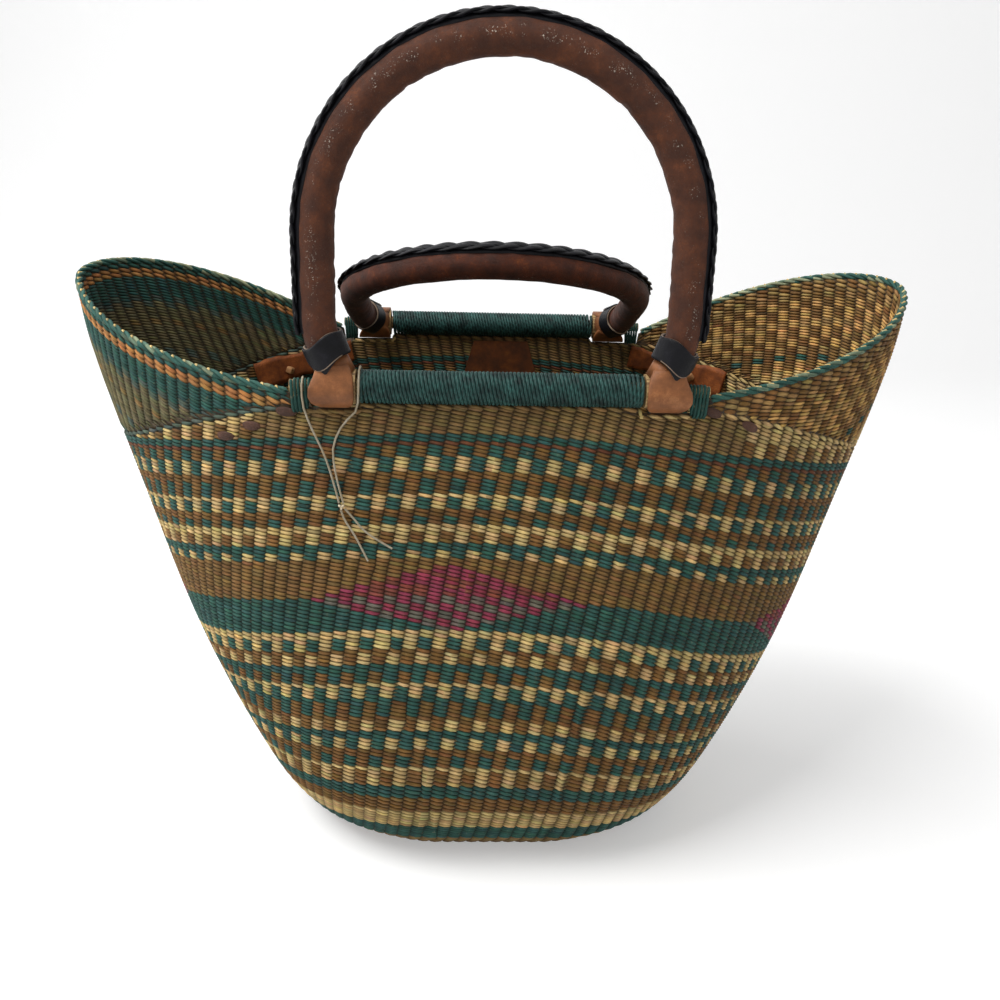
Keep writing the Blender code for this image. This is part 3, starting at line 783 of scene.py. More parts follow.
@dataclass
class Weave:
    """Twined weaving on the skin: two strands cross between every pair of stakes."""

    column: float = 7.9 * MM
    swing: float = 1.1 * MM
    radius: float = 0.8 * MM
    slant: float = 0.29  # how far a strand climbs at a crossing, as a share of the pitch
    samples: tuple[float, ...] = (0.0, 0.35, 0.5, 0.65)
    thinnest: float = 0.58  # a strand's height at a crossing, as a share of its full one
    shade: float = 0.13
    tint: float = 0.05
    seed: int = 7

    def __post_init__(self) -> None:
        """Starts the weave's own random draws."""
        self.draw = np.random.default_rng(self.seed)

    def phases(self, first: int, last: int) -> np.ndarray:
        """Where a row is sampled, in stitches, from one whole stitch to another."""
        return (np.arange(first, last)[:, None] + np.array(self.samples)).ravel()

    def tones(self, codes: list[Dye]) -> np.ndarray:
        """The linear colours of a strand's stitches, each a little its own."""
        base = np.array([linear(dye.value) for dye in codes])
        light = 1 + self.shade * self.draw.standard_normal((len(codes), 1))
        tilt = 1 + self.tint * self.draw.standard_normal((len(codes), 3))
        return np.clip(base * np.clip(light, 0.55, 1.5) * tilt, 0.003, 0.9)

    def pair(self, points: np.ndarray, down: np.ndarray, phase: np.ndarray,
             pitch: float | np.ndarray, rule: Rule, closed: bool = False) -> list[Strand]:
        """Two strands that twist round each other along a row.

        Args:
            points: The row's line in the skin's middle.
            down: The skin's downward direction at each point.
            phase: The stitch number at each point, where whole numbers are stitches.
            pitch: The distance to the next row.
            rule: Gives the dyes from an array of stitch numbers and the strand, 0 or 1.
            closed: Whether the row goes all the way round.

        Returns:
            The two strands.
        """
        ahead = along_line(points, closed)
        out = unit(np.cross(down, ahead))
        down = unit(np.cross(ahead, out))
        between = (phase[:-1] + phase[1:]) / 2
        if closed:
            between = np.append(between, phase[-1] + (phase[1] - phase[0]) / 2)
        stitches = np.round(between).astype(int)
        runs = np.unique(stitches)
        made = []
        for strand in (0, 1):
            turn = math.pi * (phase + strand)
            outward = np.abs(np.cos(turn))
            off = self.swing * np.sign(np.cos(turn)) * outward ** 0.5
            fall = self.slant * pitch * np.sin(turn)
            middle = points + out * off[:, None] + down * fall[:, None]
            half_out = self.radius * (1.1 - 0.1 * outward)
            half_down = 0.5 * pitch * (self.thinnest + (1 - self.thinnest) * outward ** 0.6)
            if not closed:
                half_out[[0, -1]] *= TIP
                half_down[[0, -1]] *= TIP
            colours = self.tones(rule(runs, strand))[np.searchsorted(runs, stitches)]
            # The crown value drops where the strand dives under its neighbour; the straw's finish turns
            # it into painted shade.
            crown = 0.5 + 0.5 * outward ** 0.6
            made.append(Strand(middle, out, down, half_out, half_down, colours, crown, closed))
        return made


LETTERS = {"N": Dye.NATURAL, "T": Dye.TEAL, "R": Dye.RED_BROWN, "B": Dye.BROWN, "C": Dye.CREAM,
           "O": Dye.OCHRE, "G": Dye.GOLD, "Y": Dye.ORANGE, "L": Dye.OLIVE, "A": Dye.TAN,
           "S": Dye.SLATE}


def pair_at(bands: Bands, row: int) -> list[Dye]:
    """The two dyes of a row, from bands of (rows, two letters). The last band goes on."""
    letters = next((code for i, (_, code) in enumerate(bands)
                    if row < sum(count for count, _ in bands[: i + 1])), bands[-1][1])
    return [LETTERS[letter] for letter in letters]


def plain(pair: list[Dye]) -> Rule:
    """The rule of a row whose two strands keep one dye each."""
    def rule(stitches: np.ndarray, strand: int) -> list[Dye]:
        """Gives the dye of each stitch."""
        return [pair[strand]] * len(stitches)

    return rule


@dataclass
class Wall:
    """The wall: twined rows from the seams down to the floor, in dyed bands."""

    skin: Skin
    rows: tuple[tuple[float, float], ...] = (
        (-4, 0.3050), (0, 0.2972), (24, 0.2494), (48, 0.1985), (72, 0.1440), (96, 0.0840),
        (108, 0.0475), (114, 0.0310), (120, 0.0168), (126, 0.0072), (130, 0.0020),
    )
    bands: Bands = (
        (11, "NN"), (2, "TT"), (1, "RR"), (3, "TB"), (4, "CT"), (2, "BB"), (4, "TB"),
        (1, "CC"), (3, "TC"), (2, "BB"), (2, "TB"), (2, "CC"), (3, "BC"), (2, "TT"),
        (2, "CT"), (10, "OO"), (9, "TT"), (2, "CC"), (3, "TC"), (1, "BB"), (3, "CB"),
        (2, "TT"), (3, "TB"), (1, "CC"), (3, "CT"), (1, "TT"), (4, "TB"), (1, "BB"),
        (3, "BC"), (2, "TT"), (3, "TC"), (2, "BB"), (3, "TB"), (1, "CC"), (4, "CB"),
        (3, "TT"), (4, "BB"), (6, "CC"), (6, "TT"), (11, "NN"),
    )
    first_row: int = -4
    drift: tuple[float, float] = (0.35, -0.0516)
    tilts: Stops = ((-4, 0.018), (60, 0.044), (95, 0.044), (124, 0.0))
    sags: Stops = ((-4, 0.3), (14, 0.4), (64, 1.0), (96, 0.75), (124, 0.0))
    sag: tuple[float, float, float] = (1.03, 45 * MM, 0.12)  # its start, its size, its softness
    diamond: tuple[float, float, float, float] = (-3.3, 50.0, 9.2, 9.2)
    rows_in_piece: int = 15
    beside_from: float = 0.46  # where the cream rows beside the straps start, toward the side
    beside_rows: tuple[int, int] = (3, 7)
    columns: int = 161  # places in a quarter at which heights are kept
    fitted: int = 4  # stakes next to the side that take up what is left of a column
    lowest: float = 1.1 * MM
    over_edge: float = 0.2 * MM
    shortest: int = 10
    edge_pitch: float = 2.4 * MM
    edge_below: tuple[float, float] = (0.6 * MM, 1.7 * MM)  # under the seat and the notch
    edge_count: int = 48  # stakes in a quarter at the edge

    @property
    def fine(self) -> np.ndarray:
        """The columns of a quarter, from the front's or rear's middle to the side."""
        return np.linspace(0, 2, self.columns)

    @staticmethod
    def fleck(column: float, row: int) -> float:
        """A fixed value from 0 to 1 for a stitch, with no order from one to the next."""
        return math.sin(column * 12.9898 + row * 78.233) * 43758.5453 % 1.0

    def dyes(self, row: int, count: int, start: float) -> Rule:
        """The rule that gives a row's dyes.

        Args:
            row: The row's number.
            count: The stakes in one quarter of the row.
            start: Where stitch 0 lies, in stakes from the front's middle.

        Returns:
            A function of the stitch numbers and the strand.
        """
        pair = pair_at(self.bands, row - self.first_row)
        all_cream, last = self.beside_rows
        beside = pair if row >= last else [Dye.CREAM, Dye.CREAM if row < all_cream else Dye.BROWN]
        middle, centre, half_wide, half_high = self.diamond

        def rule(stitches: np.ndarray, strand: int) -> list[Dye]:
            """Gives the dye of each stitch."""
            dyes = []
            for k in stitches:
                at = (k + start - middle) / count
                off = abs(at - round(at)) * count
                inside = off / half_wide + abs(row - centre) / half_high < 1.0
                if inside and row < centre:
                    dyes.append(Dye.PINK if self.fleck(k, row) < 0.6 else Dye.ROSE_BROWN)
                elif inside:
                    dyes.append(Dye.PINK if (int(k) + row // 2) % 2 else Dye.GREY)
                else:
                    toward_side = 1 - abs((k + start) / count % 2 - 1)
                    dyes.append((beside if toward_side > self.beside_from else pair)[strand])
            return dyes

        return rule

    def levels(self) -> tuple[np.ndarray, np.ndarray]:
        """Where the rows lie: they keep their distance up the slope and sag at the sides.

        Returns:
            Each row's heights and distances to the next row, at a quarter's columns.
        """
        rows = np.arange(self.first_row, self.rows[-1][0] + 1.0)
        heights = stations_at(np.array(self.rows), rows)
        z = np.linspace(0.0, 0.34, 341)
        climb = [distances(self.skin.spot(np.full(len(z), c), z, self.skin.midway)) for c in self.fine]
        begin, size, soft = self.sag
        past = np.maximum(self.fine - begin, 0.0)
        sag = size * past ** 2 / (past + soft)
        share = np.interp(rows, *zip(*self.sags))
        reached = np.interp(heights, z, climb[0])[:, None] - share[:, None] * sag[None, :]
        lower = np.stack([np.interp(reached[:, c], climb[c], z) for c in range(self.columns)], axis=1)
        return lower, -np.gradient(reached, axis=0)

    def strands_of(self, row: int, lower: np.ndarray, pitches: np.ndarray,
                   weave: Weave) -> list[Strand]:
        """One row's strands, cut where the wall ends.

        Args:
            row: The row's number.
            lower: The row's height at each of a quarter's columns.
            pitches: The distance to the next row at the same columns.
            weave: The way of twining.

        Returns:
            Two strands for each stretch of the row.
        """
        skin, fine = self.skin, self.fine
        run = distances(skin.spot(fine, lower, skin.midway))
        count = round(run[-1] / weave.column)
        free = count - self.fitted
        stakes = np.concatenate([np.arange(free) * weave.column,
                                 np.linspace(free * weave.column, run[-1], self.fitted + 1)])
        start = self.drift[0] + self.drift[1] * row
        phase = weave.phases(0, 4 * count)
        u = np.mod(start + phase, 4 * count)
        quarter = np.floor(u / count)
        within = u - quarter * count
        odd = quarter % 2 == 1
        column = np.interp(np.where(odd, count - within, within), np.arange(count + 1),
                           np.interp(stakes, run, fine))
        g = 2 * quarter + np.where(odd, 2 - column, column)
        z = np.interp(column, fine, lower)
        pitch = np.interp(column, fine, pitches)
        z = z - np.interp(row, *zip(*self.tilts)) * skin.spot(g, z, skin.midway)[:, 0]
        z = np.maximum(z, self.lowest)
        points, down = skin.facing(g, z, skin.midway)
        rule = self.dyes(row, count, start)
        kept = z + 0.5 * pitch < skin.edge(g) + self.over_edge
        if kept.all():
            return weave.pair(points, down, phase, pitch, rule, closed=True)
        # The row is turned so that it starts where it is cut, and each stretch is twined alone.
        shift = int(np.argmin(kept))
        order = np.roll(np.arange(len(kept)), -shift)
        phase = np.where(order < shift, phase[order] + 4 * count, phase[order])
        points, down, kept, pitch = points[order], down[order], kept[order], pitch[order]
        edges = np.flatnonzero(np.diff(np.concatenate([[False], kept, [False]]).astype(int)))
        made = []
        for a, b in zip(edges[::2], edges[1::2]):
            if b - a >= self.shortest:
                made += weave.pair(points[a:b], down[a:b], phase[a:b], pitch[a:b], rule)
        return made

    def edge_row(self, middle: float, weave: Weave) -> list[Strand]:
        """The last row, which closes the wall under a bar and in its two notches.

        Args:
            middle: Where the bar's middle is, round the basket.
            weave: The way of twining.

        Returns:
            The row's two strands.
        """
        skin = self.skin
        g = np.linspace(middle - 1.2, middle + 1.2, 601)
        g = g[skin.aside(g) < skin.wing_start]
        under_seat, under_notch = self.edge_below
        z = np.interp(skin.aside(g), [skin.notch_start - 1 * MM, skin.notch_start + 1 * MM],
                      [skin.seat - under_seat, skin.notch - under_notch])
        run = distances(skin.spot(g, z, skin.midway))
        phase = weave.phases(0, int(run[-1] / weave.column))
        at = np.interp(phase * weave.column, run, g)
        points, down = skin.facing(at, np.interp(at, g, z), skin.midway)
        rule = self.dyes(self.first_row, self.edge_count, 0.0)
        return weave.pair(points, down, phase, self.edge_pitch, rule)

    def build(self, look: Look, under: Look) -> None:
        """Makes the wall's bands and the stakes between their strands."""
        weave = Weave()
        lower, pitches = self.levels()
        nodes = ["wall"]
        for first in range(0, len(lower), self.rows_in_piece):
            piece = StrandPiece(f"wall_weave_{first // self.rows_in_piece + 1}")
            for i in range(first, min(first + self.rows_in_piece, len(lower))):
                piece.strands += self.strands_of(i + self.first_row, lower[i], pitches[i], weave)
            placed(piece.build(look), Body.BASKET, "woven_grass", *nodes)
            nodes = []
        edges = StrandPiece("wall_edge_row")
        for middle in (0.0, 4.0):
            edges.strands += self.edge_row(middle, weave)
        placed(edges.build(look), Body.BASKET, "woven_grass")
        self.stakes(under)

    def stakes(self, look: Look) -> None:
        """The stakes between the strands, which go up into the bars and short of the straps; the dark
        sheet is painted shade in the gaps and under the bars.
        """
        skin = self.skin
        step = skin.notch_start + 0.3 * MM
        beside = (step + np.array([-0.2, 0.2]) * MM) / skin.flat[1]
        steps = np.concatenate([middle + side * beside for middle in (0.0, 4.0) for side in (-1, 1)])
        g = np.sort(np.concatenate([np.linspace(0, 8, 8 * 40 + 1), np.mod(steps, 8.0)]))
        # Under the bars the sheet rises into the winding, so its dark finish paints the shade below each
        # bar.
        over = np.where(skin.aside(g) < step, 1.5 * MM,
                        np.where(skin.aside(g) < skin.wing_start, 0.2 * MM, -0.8 * MM))
        low, high = 0.8 * MM, skin.edge(g) + over
        spots = np.array([skin.spot(g, low + (high - low) * level, skin.midway)
                          for level in np.linspace(0.0, 1.0, 40) ** 1.2])
        stake_sheet("stakes", grid("stakes", spots), look, 0.7 * MM)


@dataclass
class Wing:
    """One end of the mouth: rows that follow the braided edge and stop at the seam."""

    skin: Skin
    name: str
    middle: float
    bands: Bands
    pitch: float = 1.9 * MM
    thick_rows: int = 3
    thick_pitch: float = 2.7 * MM
    below_edge: float = 4.4 * MM
    above_seam: float = 1.0 * MM
    rows: int = 60
    drift: tuple[float, float] = (0.3, -0.05)
    seam_pitch: float = 2.3 * MM
    stakes_below_edge: float = 2.6 * MM

    def below(self, row: int) -> tuple[float, float]:
        """How far a row lies under the edge, and its thickness: the first rows are thicker."""
        thick = min(row, self.thick_rows)
        size = self.thick_pitch if row < self.thick_rows else self.pitch
        depth = self.below_edge + thick * self.thick_pitch + (row - thick) * self.pitch
        return depth + size / 2, size

    def reach(self) -> np.ndarray:
        """Places from one end of the wing over its tip to the other."""
        g = np.linspace(self.middle - 2, self.middle + 2, 801)
        return g[self.skin.aside(g) >= self.skin.wing_start + 0.6 * MM]

    def build(self, look: Look, under: Look) -> None:
        """Makes the wing's rows and its stakes."""
        skin = self.skin
        weave = Weave(seed=11 + int(self.middle))
        piece = StrandPiece(self.name + "_weave")
        whole = self.reach()
        for row in range(self.rows):
            depth, size = self.below(row)
            g = whole[skin.rim(whole) - depth >= skin.seam(whole) + self.above_seam]
            if len(g) < 8:
                break
            run = distances(skin.spot(g, skin.rim(g) - depth, skin.midway))
            run -= np.interp(self.middle, g, run)
            shift = self.drift[0] + self.drift[1] * row
            ends = run[[0, -1]] / weave.column - shift
            first, last = math.ceil(ends[0]), math.floor(ends[1])
            if last - first < 3:
                continue
            phase = weave.phases(first, last)
            phase = np.concatenate([ends[:1], phase[(phase > ends[0]) & (phase < ends[1])], ends[1:]])
            at = np.interp((phase + shift) * weave.column, run, g)
            points, down = skin.facing(at, skin.rim(at) - depth, skin.midway)
            piece.strands += weave.pair(points, down, phase, size, plain(pair_at(self.bands, row)))
        piece.strands += self.seam_row(whole, weave)
        placed(piece.build(look), Body.BASKET, "woven_grass", self.name)
        self.stakes(whole[::4], under)

    def seam_row(self, whole: np.ndarray, weave: Weave) -> list[Strand]:
        """The first row, which follows the seam and closes it.

        Args:
            whole: The places along the wing.
            weave: The way of twining.

        Returns:
            The row's two strands.
        """
        skin = self.skin
        run = distances(skin.spot(whole, skin.seam(whole), skin.midway))
        phase = weave.phases(0, int(run[-1] / weave.column))
        at = np.interp(phase * weave.column, run, whole)
        points, down = skin.facing(at, skin.seam(at) + 0.2 * MM, skin.midway)
        return weave.pair(points, down, phase, self.seam_pitch, plain(pair_at(self.bands, self.rows)))

    def stakes(self, g: np.ndarray, look: Look) -> None:
        """The stakes between the wing's strands, as a thin dark sheet that is painted shade in the gaps.
        """
        skin = self.skin
        low = skin.seam(g) - 0.8 * MM
        high = np.maximum(skin.rim(g) - self.stakes_below_edge, low + 0.2 * MM)
        spots = np.array([skin.spot(g, low + (high - low) * t, skin.midway)
                          for t in np.linspace(0, 1, 13)])
        name = self.name + "_stakes"
        stake_sheet(name, grid(name, spots), look, 0.7 * MM)


@dataclass
class Base:
    """The flat round-woven base, twined in rings from its centre out."""

    skin: Skin
    rings: int = 23
    thickness: float = 4.5 * MM
    weave_inset: float = 2.9 * MM
    stakes_inset: float = 2.2 * MM

    def build(self, look: Look, under: Look) -> None:
        """Makes the base's rings and the stakes between them."""
        skin, height = self.skin, self.thickness / 2
        weave = Weave(seed=5)
        piece = StrandPiece("base_weave")
        outline = skin.spot(np.linspace(0, 8, 961), height, self.weave_inset) * (1, 1, 0)
        pitch = outline[:, 1].max() / self.rings
        for ring in range(self.rings):
            line = outline * (ring + 0.5) / self.rings
            run = distances(line)
            count = max(6, 2 * round(run[-1] / weave.column / 2))
            phase = weave.phases(0, count)
            points = read_line(line, run, phase / count * run[-1]) + (0, 0, height)
            inward = unit(np.cross(along_line(points, True), np.array([[0.0, 0.0, -1.0]])))
            piece.strands += weave.pair(points, inward, phase, pitch,
                                        plain([Dye.NATURAL, Dye.NATURAL]), closed=True)
        placed(piece.build(look), Body.BASKET, "woven_grass", "base")
        # The base's stakes: a dark sheet that is painted shade between the rings.
        bm = bmesh.new()
        bmesh.ops.create_circle(bm, cap_ends=True, segments=96, radius=1.0)
        rim = skin.spot(np.linspace(0, 8, 97)[:-1], height, self.stakes_inset)
        for vert, spot in zip(bm.verts, rim):
            vert.co = spot
        stake_sheet("base_stakes", mesh_of(bm, "base_stakes"), under, 0.8 * MM)


@dataclass
class RimBraid:
    """A wing's edge: three dyed strands twisted together, with short pale stitches between."""

    skin: Skin
    wing: Wing
    dye: Dye = Dye.TEAL
    pale: Dye = Dye.CREAM
    faded: str = "#A3A783"
    diameter: float = 5.0 * MM
    stitch: float = 7.9 * MM
    steps: int = 6  # points in a stitch
    from_ends: float = 1.5 * MM
    radius: float = 1.1 * MM
    nub: tuple[float, float] = (1.0 * MM, 1.35 * MM)  # a pale stitch's radius and reach

    def tones(self, dye: Dye, middle: np.ndarray, draw: np.random.Generator) -> np.ndarray:
        """A strand's colours, which have faded more in places and are paler toward the rear.

        Args:
            dye: The strand's dye.
            middle: The braid's middle line.
            draw: The braid's random draws.

        Returns:
            The colour of each stretch.
        """
        count = len(middle)
        faded = np.repeat(draw.uniform(0, 1, count // 5 + 1), 5)[: count - 1]
        rear = np.clip(middle[:-1, 1] / 0.06, 0, 1)
        share = np.clip((faded - 0.7 + 0.35 * rear) * 2.0, 0, 0.85)[:, None]
        light = 1 + 0.14 * np.repeat(draw.standard_normal(count // 6 + 1), 6)[: count - 1]
        tone, pale = np.array(linear(dye.value)), np.array(linear(self.faded))
        return np.clip((tone * (1 - share) + pale * share) * light[:, None], 0.003, 0.9)

    def build(self, look: Look) -> None:
        """Makes the braid along the wing's edge."""
        skin, wing = self.skin, self.wing
        g = np.linspace(wing.reach()[0], wing.reach()[-1], 1401)
        line = skin.spot(g, skin.rim(g) - self.diameter / 2, skin.midway)
        run = distances(line)
        at = np.linspace(self.from_ends, run[-1] - self.from_ends,
                         int(run[-1] / (self.stitch / self.steps)))
        middle = read_line(line, run, at)
        ahead = along_line(middle)
        out = unit(np.cross(ahead, np.array([[0.0, 0.0, 1.0]])))
        down = unit(np.cross(ahead, out))
        draw = np.random.default_rng(3)
        piece = StrandPiece(wing.name + "_edge_braid", sides=8)
        for share in (0, 1 / 3, 2 / 3, None):
            nub = share is None
            turn = FULL * (at / self.stitch if nub else at / (3 * self.stitch) + share)
            off = out * np.cos(turn)[:, None] + down * np.sin(turn)[:, None]
            size, reach = self.nub if nub else (self.radius, self.radius)
            if nub:
                size = size * np.clip(-1.6 * np.sin(turn) - 0.5, 0.12, 1.0)
            colours = self.tones(self.pale if nub else self.dye, middle, draw)
            piece.strands.append(laced(middle + off * reach, off, size, size, colours))
        placed(piece.build(look), Body.BASKET, "rim_braid", wing.name.replace("wing", "rim_braid"))


@dataclass
class RimBar:
    """A rim bar: a bundle of stalks with a teal cord wound tightly round it."""

    name: str
    face: float
    bar_y: float = 0.1125
    bar_height: float = 0.308
    radius: float = 8.75 * MM
    cord: float = 0.98 * MM
    reach: float = 72.6 * MM
    turns: int = 73
    skew: float = 2.2 * MM
    steps: int = 20
    pressed: float = 0.07 * MM
    wobble: float = 0.06 * MM
    lashed: tuple[float, float] = (89.8 * MM, 105.8 * MM)
    lashing_turns: int = 9
    lashing_steps: int = 12
    lashing_reach: float = 3.15 * MM
    lashing_cord: float = 0.8 * MM
    bind: float = 13.5 * MM
    bind_from: float = 97.8 * MM  # where the lashing takes in the wall's edge

    def wound(self, x: np.ndarray, turn: np.ndarray, reach: np.ndarray, fall: np.ndarray,
              cord: float, colours: np.ndarray) -> Strand:
        """A cord round the bar.

        Args:
            x: Where each of its points lies along the bar.
            turn: The angle round the bar there, from its top.
            reach: How far it lies from the bar's axis to the front and rear.
            fall: How far it lies above and below the axis.
            cord: Its radius.
            colours: The colour of each stretch.

        Returns:
            The cord's strand.
        """
        out = np.stack([np.zeros_like(x), np.sin(turn), np.cos(turn)], axis=1)
        middle = np.stack([x, self.face * self.bar_y + reach * np.sin(turn),
                           self.bar_height + fall * np.cos(turn)], axis=1)
        return laced(middle, out, cord, cord, colours)

    def winding(self, draw: np.random.Generator) -> Strand:
        """The tight winding over the bar's thick part, drawn askew by each turn."""
        count = self.turns * self.steps
        turn = np.linspace(0, FULL * self.turns, count + 1)
        half = self.reach - self.cord
        x = np.linspace(-half, half, count + 1)
        x = x - self.skew * np.cos(turn) * np.clip(1 - (np.abs(x) / half) ** 12, 0, 1)
        uneven = self.wobble * np.sin(turn * 0.37) * np.sin(turn * 0.113)
        ring = self.radius - self.cord - self.pressed + uneven
        light = 1 + 0.1 * np.repeat(draw.standard_normal(self.turns + 1), self.steps)
        return self.wound(x, turn, ring, ring, self.cord, np.tile(light[:count, None], (1, 3)))

    def lashing(self, end: float, draw: np.random.Generator) -> Strand:
        """The lashing on one of the bar's thin ends: end is -1 for the left, 1 for the right."""
        turns, steps = self.lashing_turns, self.lashing_steps
        turn = np.linspace(0, FULL * turns, turns * steps + 1)
        x = end * np.linspace(*self.lashed, len(turn))
        reach = self.lashing_reach + 0.1 * MM * np.sin(turn * 0.31)
        fall = np.where((np.cos(turn) < 0) & (np.abs(x) > self.bind_from), self.bind, reach)
        light = 1 + 0.15 * np.repeat(draw.standard_normal(turns + 1), steps)[: len(x) - 1]
        tones = np.array(linear(Dye.DEEP_TEAL.value))[None, :] * light[:, None]
        return self.wound(x, turn, reach, fall, self.lashing_cord, np.clip(tones, 0.003, 0.9))

    def build(self, cord: Look, stalks: Look, straw: Look) -> None:
        """Winds the cord, lashes the bar's thin ends and dresses the bundle.

        Args:
            cord: The cord's finish.
            stalks: The bundle's finish.
            straw: The lashing's finish.
        """
        draw = np.random.default_rng(2)
        piece = StrandPiece(self.name + "_cord_winding", sides=8, strands=[self.winding(draw)])
        placed(piece.build(cord), Body.BASKET, "teal_cord", self.name + "_winding")
        ends = [self.lashing(end, draw) for end in (-1.0, 1.0)]
        piece = StrandPiece(self.name + "_end_lashing", sides=6, strands=ends)
        placed(piece.build(straw), Body.BASKET, "grass")
        dress(self.name + "_core", stalks)


def rolled(name: str, rings: np.ndarray, *looks: Look,
           second: tuple[int, ...] = ()) -> bpy.types.Object:
    """Rolls a grid up into a tube or a closed ring and welds it.

    Args:
        name: The piece's name.
        rings: Points as (steps along, points round, 3), whose last repeats its first.
        looks: The materials.
        second: The places round it whose faces take the second material.

    Returns:
        The object, with weave and OFBake layers.
    """
    mesh = grid(name, rings)
    count, row = rings.shape[:2]
    run = distances(rings[:, :-1].mean(axis=1))
    if run[-1] < 1e-6:
        run = np.linspace(0, 1, count)
    around = distances(rings[count // 2])
    u, v = (part.ravel() for part in np.meshgrid(run, around, indexing="ij"))
    field_of = np.stack([0.01 + 0.98 * u / run[-1], 0.01 + 0.98 * v / around[-1]], 1)
    lay_out(mesh, OFBake=field_of, weave=np.stack([u, v], 1))
    if second:
        for face in mesh.polygons:
            face.material_index = int(min(face.vertices) % row in second)
    return welded(name, mesh, *looks)


def capped(rings: np.ndarray) -> np.ndarray:
    """Rings with a point at each end, which closes the piece."""
    ends = [np.repeat(ring.mean(axis=1, keepdims=True), rings.shape[1], axis=1)
            for ring in (rings[:1], rings[-1:])]
    return np.concatenate([ends[0], rings, ends[1]])


def ripple(points: np.ndarray, cell: float, seed: int) -> np.ndarray:
    """A smooth lumpy field at points, about -1 to 1, from a few crossed waves.

    Args:
        points: The points, in metres.
        cell: The width of a lump.
        seed: Which field.

    Returns:
        The field's value at each point.
    """
    draw = np.random.default_rng(seed)
    total = np.zeros(points.shape[:-1])
    for _ in range(7):
        way = draw.standard_normal(3)
        way *= math.pi / cell / np.linalg.norm(way) * draw.uniform(0.6, 1.6)
        total += np.sin(points @ way + draw.uniform(0, 6.28))
    return total / 3.5


